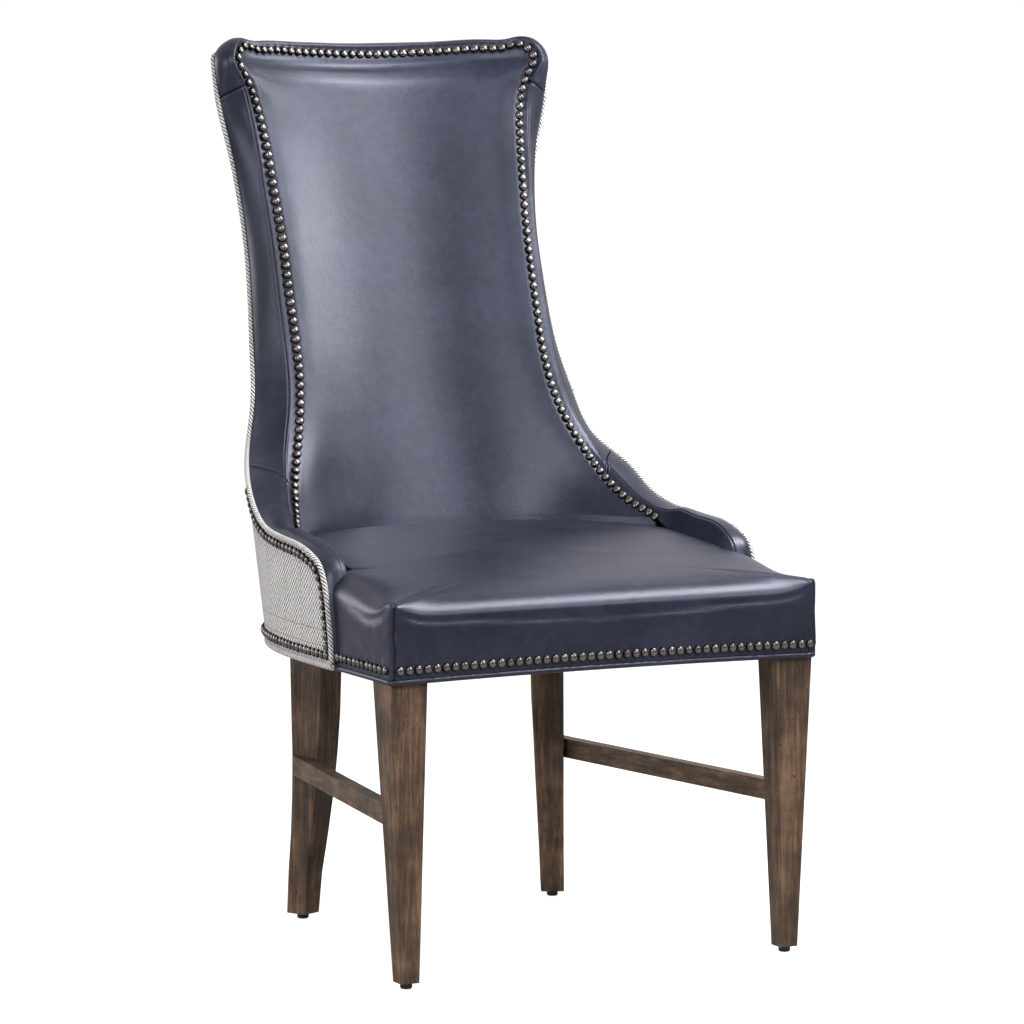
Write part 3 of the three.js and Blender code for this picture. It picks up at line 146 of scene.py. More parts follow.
# The outer wall by height: share of skirt to back top, then shares of OUTER_WIDTH / 2 and
# OUTER_LEAN, and the power of its plan curve.
WALL_SHARES = np.array([
    [0, 1, 0, 2.9],
    [0.3, 1.01, 0.28, 3.35],
    [0.39, 1.06, 0.31, 2.8],
    [0.505, 1.264, 0.41, 2.4],
    [0.795, 1.396, 0.766, 2.2],
    [1, 1.464, 1, 2.1],
])
RIDGE_SHARE = 0.2
RIDGE_LIFT = 8.7
CREST_RIDGE_SHARE = 0.12
CREST_RIDGE_LIFT = 13.2
RIDGE_ROUND = 1.1
SIDE_BULGE = 3.2
CREST_ROUND = 2.2
CREST_BULGE = 4.5
CREST_SOFTNESS = 0.8
SEAM_SLANT = 28
SEAM_SLANT_REACH = 90
PAD_EDGE_POWER = 12

# Columns of the leather edge: shares of the way from the nails to the ridge, and on to the welt
BEFORE_RIDGE = np.array([
    0, 0.12, 0.24, 0.36, 0.47, 0.57, 0.66, 0.74, 0.8, 0.855, 0.9, 0.935, 0.965, 1
])
AFTER_RIDGE = np.array([
    0.01, 0.022, 0.036, 0.055, 0.08, 0.11, 0.15, 0.2, 0.28, 0.37, 0.47, 0.57, 0.67, 0.77, 0.86,
    0.94, 1,
])

# Grooves and their lips across a seam, an end, a row of stitches and a corner's pleat, each
# hill's height, place and width
SEAM_GROOVE = [(-1.0, 0, 0.9), (0.5, 2.2, 1.2), (0.5, -2.2, 1.2)]
END_GROOVE = [(-1.2, 0, 1.5), (0.35, 3, 1.6)]
STITCH_GROOVE = [(-0.8, STITCH_INSET, 1.1)]
PLEAT = [(-2.4, 0, 1.2), (1.2, -3.2, 1.9), (0.5, 3.2, 2.4)]
PLEAT_PLACE = 4.6

# Leather of the edge and the inside back
NAILED_SHARE = 0.86  # of the way to the arm's seam, from where the nails pull at the edge
EDGE_THICKNESS = 4
BACK_ROWS = 235
BACK_COLUMNS = 141
BACK_CROWDING = 1.15
BACK_PUCKER = 1.9
BACK_THICKNESS = 8
TUCK_HEIGHT = 440
TUCK_ROWS = 6
TUCK_SLOPE = 0.25

# Shape of the seat
SEAT_CROWN = 4
SEAT_SLOPE_POWER = 2.2
SEAT_PRESS = 1.5  # how far the seat presses into the arms
SEAT_BACK_PRESS = 2
SEAT_FOOT = SKIRT_HEIGHT + 2 * SEAT_WELT_RADIUS
SEAT_HIDDEN_FOOT = 430  # the covering's lower edge between the arms
SEAT_UNDERSIDE = [0, 200, 425]
SEAT_MIDDLE = [0, 0.95 * ARM_SETBACK]
SEAT_CREVICE_ROUND = 3
SEAT_ROLL_RUN = 25
SEAT_ROLL_DROP = 17
SEAT_SIDE_RUN = 66
SEAT_SIDE_DROP = 30
SEAT_SIDE_FADE = 30
CORNER_EASE = 0.45  # share of the front's drop that is left out at a corner
CORNER_EASE_REACH = 28
CORNER_PINCH = 0.78  # share of the side's drop that is left out at a corner
CORNER_PINCH_REACH = 42
CORNER_RISE = 5
CORNER_RISE_REACH = 24
CORNER_TURNS = np.radians(np.arange(0, 91, 15))
CORNER_CROWDING = 5
CORNER_CROWDING_REACH = 16
RIDGE_FOLD_RISE = 1.6
RIDGE_FOLD_SLOPE = 0.53
RIDGE_FOLD_WIDTH = 9
RIDGE_FOLD_SPREAD = 0.12
RIDGE_FOLD_START = 30
RIDGE_FOLD_REACH = 120
SHOULDER_Y = ARM_SETBACK + 5  # where the seat narrows to fit between the arms
SHOULDER_TUCK = 17  # how far the seat's top runs in over an arm's nose
TUCK_LOW = 418  # it does so above this height and this far from the middle
TUCK_INNER = 232
SEAT_WALL_RINGS = 30
SEAT_ROLL_RINGS = 24
SEAT_TOP_RINGS = 44
SEAT_ROLL_SHARE = 0.28  # of the way to the middle
SEAT_SMOOTHINGS = 12
SEAT_FILL_MOVE = 1.2
FILL_FRAMES = 20
FILLING = {
    "quality": 4, "mass": 0.3, "tension_stiffness": 25, "compression_stiffness": 25,
    "bending_stiffness": 1.5, "use_pressure": True, "uniform_pressure_force": 4,
    "vertex_group_mass": "held",
}
SEAT_DIPS = 16

# Soft folds along the edge and up the seat's face, each wave's height, length, place and width
EDGE_FOLDS = [(0.35, 26, 8, 9), (0.5, 60, 14, 14)]
SEAT_FOLDS = [(0.7, 17, 12, 16), (0.6, 48, 45, 26)]

# What nails do above the skirt's foot, between them and all along, each hill's height, place
# and width
SEAT_PUFF = [(0.9, 0, 5), (0.7, 5, 6)]
SEAT_DRAW = [(-0.5, 0, 5)]

# Folds that fan up from the foot of each corner: reach, lean, size and width of each
SIDE_FOLDS = [(16, 0.55, 1.5, 4.5), (34, 0.75, 1.1, 6), (58, 0.85, 0.8, 8)]
FRONT_FOLDS = [(20, 0.35, 0.8, 3.5), (44, 0.6, 0.6, 6)]

# Tweed, in metres
TWEED_PITCH = 0.007  # from thread bundle to thread bundle
CHECK_PITCH = 0.055
CHECK_PLACES = (0.046, 0.03)
CHECK_WIDTH = 0.0009

# Each light's place, target, width, height and watts
SOFTBOXES = {
    "key_softbox": ((-1.5, -3.2, 2.5), (0, 0, 0.75), 1.1, 1.2, 52),
    "left_softbox": ((-3.6, -0.9, 1.3), (0, 0, 0.6), 1.5, 1.15, 33),
    "rear_left_softbox": ((-2.0, 2.4, 1.1), (-0.2, -0.2, 0.4), 1.4, 1.0, 20),
    "front_softbox": ((1.75, -2.9, 2.15), (0, 0, 0.7), 1.0, 0.7, 33),
    "side_softbox": ((1.035, -0.28, 1.29), (-0.13, 0.19, 0.79), 0.32, 0.26, 9),
    "top_softbox": ((1.2, -0.95, 2.65), (0, -0.3, 0.44), 1.7, 0.8, 78),
}
SKY_WAY = (-0.15, 0.99, 0)  # the world grows brighter this way
CAMERA_LENS = 178.06
CAMERA_PLACE = (-2.68485, -5.4092, 1.1337)
CAMERA_WAY = (0.44855, 0.88766, -0.10427)


# Curves and surfaces


def spline(knots, values, at):
    """The natural cubic curve through values at the knots, read at other places."""
    knots, values, at = (np.asarray(given, float) for given in (knots, values, at))
    steps = np.diff(knots)
    count = len(knots)
    wide = (-1,) + (1,) * (values.ndim - 1)
    matrix = np.eye(count)
    bends = np.zeros_like(values)
    slopes = np.diff(values, axis=0) / steps.reshape(wide)
    for i in range(1, count - 1):
        matrix[i, i - 1 : i + 2] = steps[i - 1], 2 * (steps[i - 1] + steps[i]), steps[i]
        bends[i] = 6 * (slopes[i] - slopes[i - 1])
    bends = np.linalg.solve(matrix, bends)
    i = np.clip(np.searchsorted(knots, at) - 1, 0, count - 2)
    step = steps[i].reshape(wide)
    after = (at - knots[i]).reshape(wide)
    before = step - after
    return (
        (bends[i] * before**3 + bends[i + 1] * after**3) / (6 * step)
        + (values[i] / step - bends[i] * step / 6) * before
        + (values[i + 1] / step - bends[i + 1] * step / 6) * after
    )


def lengths(points):
    """Distance along a line of points, from its first."""
    return np.concatenate([[0], np.cumsum(np.linalg.norm(np.diff(points, axis=0), axis=1))])


def read_at(places, knots, values):
    """Rows of values given at knots, read at other places."""
    return np.stack([np.interp(places, knots, column) for column in values.T], axis=1)


def along(points, places, values=None):
    """Points of a dense line, or values given at them, at distances along it."""
    return read_at(places, lengths(points), points if values is None else values)


def across_lengths(grid):
    """Distance along each row of a grid, from its first point."""
    steps = np.diff(grid, axis=1, prepend=grid[:, :1])
    return np.cumsum(np.linalg.norm(steps, axis=2), axis=1)


def nearest_distance(points, others):
    """Each point's distance to the nearest of the others."""
    blocks = np.array_split(points.reshape(-1, 3), 9)
    found = [np.linalg.norm(block[:, None] - others, axis=2).min(axis=1) for block in blocks]
    return np.concatenate(found).reshape(points.shape[:-1])


def unit(vectors):
    return vectors / np.maximum(np.linalg.norm(vectors, axis=-1, keepdims=True), 1e-9)


def smooth_step(x):
    x = np.clip(x, 0, 1)
    return x * x * (3 - 2 * x)


def bell(distance, width):
    return np.exp(-((distance / width) ** 2))


def bells(distance, hills):
    """A sum of bells, each its height, place and width."""
    return sum(height * bell(distance - place, width) for height, place, width in hills)


def swell(pitches):
    """0 at each nail and 1 halfway between two."""
    return 0.5 - 0.5 * np.cos(2 * np.pi * pitches)


def rounded(distance, run):
    """A quarter round: 0 on the edge, 1 from the run on."""
    return np.sqrt(1 - (1 - np.clip(distance / run, 0, 1)) ** 2)


def ripple(places, length, seed):
    """A smooth uneven wave along a line, from -1 to 1, with hills about a length apart."""
    source = np.random.default_rng(seed)
    knots = np.arange(-2, int(max(places) / length) + 4) * length
    return spline(knots, source.uniform(-1, 1, len(knots)), places)


def soft_fold(places, seed, across, height, length, place, width):
    """A wave along a line that fades to both sides of a place across it."""
    wave = ripple(places.ravel(), length, seed).reshape(places.shape)
    return height * wave * bell(across - place, width)


def wall_at(z):
    """The outer wall's half-width, depth and plan power at heights."""
    rise = (np.asarray(z, float) - SKIRT_HEIGHT) / (BACK_HEIGHT - SKIRT_HEIGHT)
    spread = np.linspace(-WALL_BLEND, WALL_BLEND, 7)
    read = lambda column: np.mean(
        [np.interp(rise + d, WALL_SHARES[:, 0], WALL_SHARES[:, column]) for d in spread], axis=0
    )
    half = OUTER_WIDTH / 2 * read(1)
    deep = BASE_DEPTH + OUTER_LEAN * read(2) - WALL_START
    return half, deep, read(3)


def wall_x(y, z):
    half, deep, power = wall_at(z)
    share = np.clip(np.maximum(y - WALL_START, 0) / deep, 0, 1)
    return half * (1 - share**power) ** (1 / power)


def wall_y(x, z):
    half, deep, power = wall_at(z)
    return WALL_START + deep * (1 - np.clip(np.abs(x) / half, 0, 1) ** power) ** (1 / power)


def wall_facing(points):
    """The outer wall's outward direction at points on it."""
    def level(p):
        half, deep, power = wall_at(p[:, 2])
        return np.abs(p[:, 0] / half) ** power + (np.maximum(p[:, 1] - WALL_START, 0) / deep) ** power

    slopes = [level(points + step) - level(points - step) for step in np.eye(3) * 0.5]
    return unit(np.stack(slopes, axis=1))


def wall_path(z, inset, step):
    """Points round the outer wall at one height, from the right arm's front to the left's."""
    half, deep, power = (float(v) for v in wall_at(z))
    half, deep = half - inset, deep - inset
    angles = np.radians(np.linspace(0, 180, 900))
    c, s = np.cos(angles), np.sin(angles)
    x = half * np.sign(c) * np.abs(c) ** (2 / power)
    y = WALL_START + deep * np.abs(s) ** (2 / power)
    curve = np.stack([x, y, np.full_like(x, z)], axis=1)
    curve = np.concatenate([[[half, ARM_SETBACK, z]], curve, [[-half, ARM_SETBACK, z]]])
    total = lengths(curve)[-1]
    return along(curve, np.linspace(0, total, int(total / step)))


def inner_middle(z):
    return SEAT_DEPTH + np.maximum(z - SEAT_HEIGHT, 0) * math.tan(math.radians(BACK_RAKE))


def topness(row):
    return np.clip((np.asarray(row, float) - CREST_BLEND[0]) / CREST_BLEND[1], 0, 1)


SIDE = np.array(SIDE_SHARES)
NAILS = SIDE[:, :3] * [EAR_WIDTH / 2, SEAT_DEPTH, RISE] + [0, 0, SEAT_HEIGHT]
NAIL_KNOTS = lengths(NAILS)


def inner_point(row, across, crown):
    """Points of the inside back; row runs up the side table, across from -1 to 1."""
    places = np.interp(row, np.arange(len(NAILS)), NAIL_KNOTS)
    nail = spline(NAIL_KNOTS, NAILS, places.ravel()).reshape(np.shape(row) + (3,))
    share = np.abs(across)
    power = 2.6 - 0.6 * np.clip(row / 4, 0, 1)  # fuller at the seat than above it
    top = smooth_step(topness(row))
    z = nail[..., 2] - TOP_RISE * top * (1 - share**1.5)
    hollow = inner_middle(nail[..., 2]) - nail[..., 1]
    padding = crown * (1 - share**PAD_EDGE_POWER) * (1 - top**2)
    y = inner_middle(z) - hollow * share**power - padding
    return np.stack([across * nail[..., 0], y, z], axis=-1)


def stations():
    """The leather edge from the right arm's foot over the crest to the left arm's foot:
    inner point, welt point, ridge place and ridge lift, as one table."""
    rows = []
    foot, size = np.array([ARM_SETBACK, SKIRT_HEIGHT]), np.array([ARM_LENGTH, ARM_HEIGHT])
    for shares in ARM_SHARES:
        y, z = foot + size * shares[:2]
        inner = [ARM_INNER_WIDTH / 2, *(foot + size * shares[2:4])]
        rows.append([*inner, float(wall_x(y, z)), y, z, shares[4], ARM_HEIGHT * shares[5]])
    for row, shares in enumerate(SIDE_SHARES):
        y, z = BASE_DEPTH * shares[3], SEAT_HEIGHT + RISE * shares[4]
        blend = float(topness(row))
        place = RIDGE_SHARE + (CREST_RIDGE_SHARE - RIDGE_SHARE) * blend
        lift = RIDGE_LIFT + (CREST_RIDGE_LIFT - RIDGE_LIFT) * blend
        rows.append([*NAILS[row], float(wall_x(y, z)), y, z, place, lift])
    corner = rows[-1]
    last_row = np.array([len(SIDE) - 1.0])
    for share in TOP_SHARES:
        inner = inner_point(last_row, np.array([share]), 0)[0]
        x, z = share * corner[3], corner[5]
        rows.append([*inner, x, float(wall_y(x, z)), z, CREST_RIDGE_SHARE, CREST_RIDGE_LIFT])
    right = np.array(rows)
    left = right[-2::-1].copy()
    left[:, [0, 3]] *= -1
    return np.concatenate([right, left])


TABLE = stations()
KNOTS = (lengths(TABLE[:, :3]) + lengths(TABLE[:, 3:6])) / 2
FIRST_SIDE = len(ARM_SHARES)
SEAM = KNOTS[FIRST_SIDE + SEAM_ROW]
EAR_SEAM = KNOTS[FIRST_SIDE + EAR_SEAM_ROW]
MIDDLE = KNOTS[len(TABLE) // 2]
END = KNOTS[-1]
RULER = np.linspace(0, END, 6000)
RULER_PITCHES = lengths(spline(KNOTS, TABLE[:, :3], RULER)) / NAIL_PITCH
MIDDLE_PITCHES = np.interp(MIDDLE, RULER, RULER_PITCHES)


class Edge:
    """The leather edge at places along it: points and directions of each section."""

    def __init__(self, places):
        self.places = np.asarray(places, float)
        table = spline(KNOTS, TABLE, self.places)
        self.inner, self.outer = table[:, :3], table[:, 3:6]
        place, lift = table[:, 6:7], table[:, 7:8]
        step = 0.5
        change = spline(KNOTS, TABLE, self.places + step) - spline(KNOTS, TABLE, self.places - step)
        self.run = unit(change[:, :3] + change[:, 3:6])
        self.lifted = unit(np.cross(self.outer - self.inner, self.run))
        self.ridge = self.inner + place * (self.outer - self.inner) + self.lifted * lift
        self.outward = unit(np.cross(self.outer - self.ridge, self.run))
        self.shelf = unit(self.ridge - self.inner)
        self.facing = unit(np.cross(self.shelf, self.run))


def nail_phase(places):
    """How many nail pitches each place lies from the middle, along the nail row."""
    return np.interp(places, RULER, RULER_PITCHES) - MIDDLE_PITCHES


def nail_places(first, last):
    """Places along the edge where the inside nails stand, a pitch apart from the middle."""
    count = int(RULER_PITCHES[-1])
    marks = MIDDLE_PITCHES + np.arange(-count, count + 1)
    places = np.interp(marks[(marks > 0) & (marks < RULER_PITCHES[-1])], RULER_PITCHES, RULER)
    return places[(places >= first) & (places <= last)]


# Meshes


def new_piece(name, vertices, faces):
    mesh = bpy.data.meshes.new(name)
    mesh.from_pydata((np.asarray(vertices).reshape(-1, 3) + [0, FRONT_Y, 0]) * MM, [], faces)
    piece = bpy.data.objects.new(name, mesh)
    bpy.context.scene.collection.objects.link(piece)
    mesh.polygons.foreach_set("use_smooth", [True] * len(mesh.polygons))
    return piece


def grid_faces(rows, columns, closed=False):
    faces = []
    for r in range(rows - 1):
        for c in range(columns if closed else columns - 1):
            a, b = r * columns + c, r * columns + (c + 1) % columns
            faces.append((a, b, b + columns, a + columns))
    return faces


def grid_normals(grid):
    return unit(np.cross(np.gradient(grid, axis=1), np.gradient(grid, axis=0)))


def only(piece):
    bpy.ops.object.select_all(action="DESELECT")
    piece.select_set(True)
    bpy.context.view_layer.objects.active = piece


def make_outward(piece):
    """Turns a closed piece's faces outwards."""
    only(piece)
    bpy.ops.object.mode_set(mode="EDIT")
    bpy.ops.mesh.select_all(action="SELECT")
    bpy.ops.mesh.normals_make_consistent(inside=False)
    bpy.ops.object.mode_set(mode="OBJECT")


def sheet_from_grid(name, grid, away, thickness, uv=None):
    """A covering: the grid's surface, faced the way that away gives at a point, with a
    thickness behind it."""
    piece = new_piece(name, grid, grid_faces(*grid.shape[:2]))
    mesh = piece.data
    if uv is not None:
        layer = mesh.uv_layers.new(name="UVMap")
        flat = uv.reshape(-1, 2)
        for loop in mesh.loops:
            layer.data[loop.index].uv = flat[loop.vertex_index]
    mesh.update()
    if sum((Vector(p.normal) * p.area).dot(away(p.center)) for p in mesh.polygons) < 0:
        mesh.flip_normals()
    solid = piece.modifiers.new("thickness", "SOLIDIFY")
    solid.thickness = thickness * MM
    solid.offset = -1
    only(piece)
    bpy.ops.object.modifier_apply(modifier=solid.name)
    return piece


def closed_piece(name, rings, last, first):
    """Rings joined to one closed piece, with a point beyond the last ring and the first."""
    rows, count = rings.shape[:2]
    faces = grid_faces(rows, count, closed=True)
    hub, top = rows * count, (rows - 1) * count
    for c in range(count):
        d = (c + 1) % count
        faces += [(top + c, top + d, hub), (d, c, hub + 1)]
    piece = new_piece(name, np.concatenate([rings.reshape(-1, 3), [last, first]]), faces)
    make_outward(piece)
    return piece


def cord(name, node, path, radius, material, slot, facings=None, sides=12):
    """A round cord along a dense path, with a UV map in metres along and around it. It lies
    level where no facings are given."""
    run = unit(np.gradient(path, axis=0))
    if facings is None:
        facings = unit(np.cross(run, [0, 0, 1.0]))
    side = unit(np.cross(facings, run))
    up = np.cross(run, side)
    angles = np.linspace(0, 2 * np.pi, sides, endpoint=False)[:, None]
    rings = path[:, None] + radius * (side[:, None] * np.cos(angles) + up[:, None] * np.sin(angles))
    piece = closed_piece(name, rings, path[-1], path[0])
    far = lengths(path) * MM
    layer = piece.data.uv_layers.new(name="UVMap")
    hub = len(path) * sides
    for polygon in piece.data.polygons:
        turns = [v % sides for v in polygon.vertices if v < hub]
        wraps = max(turns) - min(turns) > 1
        for i, v in zip(polygon.loop_indices, polygon.vertices):
            if v >= hub:
                layer.data[i].uv = (far[-1 if v == hub else 0], 0)
            else:
                around = sides if wraps and v % sides == 0 else v % sides
                layer.data[i].uv = (far[v // sides], around / sides * 2 * np.pi * radius * MM)
    settle(piece, material, slot, node)


# Materials


def colour(code):
    """A linear colour from an sRGB hex value."""
    channels = [int(code[i : i + 2], 16) / 255 for i in (1, 3, 5)]
    linear = [c / 12.92 if c <= 0.04045 else ((c + 0.055) / 1.055) ** 2.4 for c in channels]
    return (*linear, 1)


class Nodes:
    """A material's or a world's nodes, and short ways to add to them."""

    def __init__(self, owner, last="Principled BSDF"):
        owner.use_nodes = True
        self.owner, self.tree = owner, owner.node_tree
        self.last = self.tree.nodes[last]

    def feed(self, node, inputs):
        """Sets inputs, by name or by number as in i3: a value or another node's output."""
        for name, value in inputs.items():
            numbered = name[0] == "i" and name[1:].isdigit()
            key = int(name[1:]) if numbered else name.replace("_", " ")
            if isinstance(value, bpy.types.NodeSocket):
                self.tree.links.new(value, node.inputs[key])
            else:
                node.inputs[key].default_value = value

    def add(self, kind, settings=None, **inputs):
        """A new node's outputs."""
        made = self.tree.nodes.new("ShaderNode" + kind)
        for name, value in (settings or {}).items():
            setattr(made, name, value)
        self.feed(made, inputs)
        return made.outputs

    def done(self, **inputs):
        self.feed(self.last, inputs)
        return self.owner

    def place(self):
        return self.add("TexCoord")["Object"]

    def noise(self, at, scale, detail, roughness, output=0, **more):
        inputs = {"Vector": at, "Scale": scale, "Detail": detail, "Roughness": roughness}
        return self.add("TexNoise", **inputs, **more)[output]

    def ramp(self, factor, *stops):
        made = self.tree.nodes.new("ShaderNodeValToRGB")
        self.feed(made, {"Fac": factor})
        elements = made.color_ramp.elements
        while len(elements) < len(stops):
            elements.new(0.5)
        for element, (place, value) in zip(elements, stops):
            element.position = place
            element.color = colour(value) if isinstance(value, str) else (value, value, value, 1)
        return made.outputs[0]

    def blend(self, share, first, second):
        return self.add("Mix", Factor=share, i2=first, i3=second)[0]

    def overlay(self, share, tone, code):
        """A tone with a plain colour laid over it by a share."""
        return self.add("Mix", {"data_type": "RGBA"}, i0=share, i6=tone, i7=colour(code))[2]

    def sums(self, operation, *values):
        inputs = {f"i{i}": value for i, value in enumerate(values)}
        return self.add("Math", {"operation": operation}, **inputs)[0]

    def bumps(self, *layers):
        """A chain of bumps, each its strength, its depth in metres and its height."""
        under = {}
        for strength, depth, height in layers:
            inputs = {"Strength": strength, "Distance": depth, "Height": height, **under}
            under["Normal"] = self.add("Bump", **inputs)[0]
        return under["Normal"]


def leather(name, light, middle, dark, roughness):
    """Semi-gloss aniline leather: cloudy dye, a fine pebbled grain and soft creases."""
    nodes = Nodes(bpy.data.materials.new(name))
    at = nodes.place()
    clouds = nodes.noise(at, scale=9.0, detail=3.0, roughness=0.5)
    mottle = nodes.noise(at, scale=90.0, detail=1.0, roughness=0.5)
    grain = nodes.add("TexVoronoi", {"feature": "DISTANCE_TO_EDGE"}, Vector=at, Scale=620.0)
    pebble = nodes.ramp(grain["Distance"], (0.0, 0.0), (0.25, 1.0))
    fine = nodes.noise(at, scale=420.0, detail=2.0, roughness=0.5)
    broad = nodes.noise(at, scale=45.0, detail=3.0, roughness=0.55)
    dye = nodes.blend(0.34, clouds, mottle)
    return nodes.done(
        Base_Color=nodes.ramp(dye, (0.2, dark), (0.48, middle), (0.78, light)),
        Normal=nodes.bumps((0.18, 0.0003, pebble), (0.2, 0.0006, fine), (0.12, 0.002, broad)),
        Roughness=nodes.ramp(clouds, (0.2, roughness - 0.03), (0.8, roughness + 0.04)),
        IOR=1.5,
        Specular_Tint=(0.78, 0.83, 1.0, 1),
    )


def tweed(name, woven, slanted, slant_pitch):
    """Woven wool tweed: pale threads, dark flecks and a thin brown check."""
    nodes = Nodes(bpy.data.materials.new(name))
    sums = nodes.sums
    uv = nodes.add("UVMap", {"uv_map": "UVMap"})[0]
    shift = nodes.noise(uv, scale=180.0, detail=2.0, roughness=0.5, output="Color")
    away = {"i0": shift, "i1": (0.0016, 0.0016, 0), "i2": uv}
    wander = nodes.add("VectorMath", {"operation": "MULTIPLY_ADD"}, **away)[0]
    split = nodes.add("SeparateXYZ", Vector=wander)
    u, v = split[0], split[1]

    def wave(source, period):
        return sums("SINE", sums("MULTIPLY", source, 2 * math.pi / period))

    height = 0.0
    for part, weight in (
        (sums("MULTIPLY", wave(u, TWEED_PITCH), wave(v, TWEED_PITCH)), woven),
        (wave(sums("ADD", u, v), slant_pitch), slanted),
        (nodes.noise(uv, scale=430.0, detail=3.0, roughness=0.75), 0.75),
        (nodes.noise(uv, scale=70.0, detail=3.0, roughness=0.6), 0.12),
    ):
        height = sums("ADD", height, sums("MULTIPLY", part, weight))
    shades = (0.16, "#2f2a28"), (0.3, "#8c8783"), (0.45, "#d2cfcc"), (0.62, "#f2f1ef")
    tone = nodes.ramp(height, *shades)
    lines = [
        sums("COMPARE", sums("PINGPONG", source, CHECK_PITCH), place, CHECK_WIDTH)
        for source, place in zip((v, u), CHECK_PLACES)
    ]
    return nodes.done(
        Base_Color=nodes.overlay(sums("MULTIPLY", sums("MAXIMUM", *lines), 0.5), tone, "#8d7466"),
        Normal=nodes.bumps((0.8, 0.0008, height)),
        Roughness=0.95,
        Sheen_Weight=0.15,
        Sheen_Roughness=0.5,
    )


def antique_brass(name):
    """Antiqued nail heads: dark patina at the rim, rubbed bright on the dome."""
    nodes = Nodes(bpy.data.materials.new(name))
    wear = nodes.add("Attribute", {"attribute_name": "wear"})["Fac"]
    spots = nodes.noise(nodes.place(), scale=900.0, detail=3.0, roughness=0.7)
    rubbed = nodes.sums("MULTIPLY_ADD", spots, 0.3, wear)
    return nodes.done(
        Base_Color=nodes.ramp(rubbed, (0.2, "#0f0d0c"), (0.6, "#2f2c2a"), (1.0, "#7b7774")),
        Roughness=nodes.ramp(rubbed, (0.2, 0.5), (0.9, 0.27)),
        Metallic=0.85,
    )


def stained_wood(name, stretch):
    """Stained hardwood with a grey glaze: long streaks, pores and small dents."""
    nodes = Nodes(bpy.data.materials.new(name))
    at = nodes.place()
    drawn = nodes.add("Mapping", Vector=at, Scale=stretch)[0]
    streaks = nodes.noise(drawn, scale=1.0, detail=5.0, roughness=0.65, Distortion=0.6)
    pores = nodes.noise(drawn, scale=3.2, detail=4.0, roughness=0.75)
    clouds = nodes.noise(at, scale=22.0, detail=3.0, roughness=0.6)
    grain = nodes.blend(0.3, nodes.blend(0.45, streaks, pores), clouds)
    tone = nodes.ramp(grain, (0.39, "#281c14"), (0.5, "#574130"), (0.62, "#8a6b51"))
    dents = nodes.noise(at, scale=260.0, detail=2.0, roughness=0.5)
    return nodes.done(
        Base_Color=nodes.overlay(nodes.ramp(dents, (0.27, 1.0), (0.33, 0.0)), tone, "#1d1613"),
        Normal=nodes.bumps((0.35, 0.0006, grain)),
        Roughness=nodes.ramp(pores, (0.3, 0.42), (0.7, 0.6)),
    )


def plain(name, low, high, scale, roughness, metallic=0.0, stretch=(1, 1, 1)):
    """A quiet finish with a slight variation, for parts that hardly show."""
    nodes = Nodes(bpy.data.materials.new(name))
    drawn = nodes.add("Mapping", Vector=nodes.place(), Scale=stretch)[0]
    clouds = nodes.noise(drawn, scale, detail=4.0, roughness=0.6)
    return nodes.done(
        Base_Color=nodes.ramp(clouds, (0.35, low), (0.65, high)),
        Normal=nodes.bumps((0.3, 0.0005, clouds)),
        Roughness=roughness,
        Metallic=metallic,
    )


LEATHER = leather("aniline_leather", "#353749", "#262836", "#191a24", 0.31)
TWEED = tweed("wool_tweed", 0.34, 0.05, 0.0036)
TWEED_CORD = tweed("wool_tweed_cord", 0.05, 0.3, 0.0048)
THREAD = plain("waxed_thread", "#33343f", "#454757", 900.0, 0.6)
NAIL = antique_brass("antiqued_brass_nails")
RAIL_WOOD = stained_wood("glazed_stretcher_wood", (90, 6, 90))
FINISHES = {
    "leather": LEATHER,
    "tweed": TWEED,
    "nail_heads": NAIL,
    "leg_wood": stained_wood("glazed_leg_wood", (90, 90, 6)),
    "frame_wood": plain("plain_beech", "#a98a5e", "#c7a877", 30.0, 0.75, stretch=(1, 1, 6)),
    "padding": plain("upholstery_foam", "#ddd2b0", "#e9e0c4", 400.0, 0.95),
    "webbing": plain("seat_webbing", "#241f1d", "#35302d", 500.0, 0.9),
    "dust_cloth": plain("black_dust_cloth", "#131315", "#1d1d20", 700.0, 0.95),
    "glide": plain("nylon_glide", "#241f1d", "#332c29", 200.0, 0.45),
    "bolt_steel": plain("zinc_plated_steel", "#8f8f92", "#a8a8ab", 300.0, 0.35, 1.0),
}
slots = {part["node"]: part["material_slot"] for part in frame["record"]["subparts"]}
for node_name, node_object in frame["nodes"].items():
    finish = RAIL_WOOD if "stretcher" in node_name else FINISHES[slots[node_name]]
    node_object.data.materials.clear()
    node_object.data.materials.append(finish)


def settle(piece, material, slot, *nodes):
    """Gives a piece its finish and its place on the frame, in the stead of CAD nodes."""
    piece.data.materials.clear()
    piece.data.materials.append(material)
    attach(piece, "root")
    if nodes:
        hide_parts(*nodes)
    return piece


# The leather edge


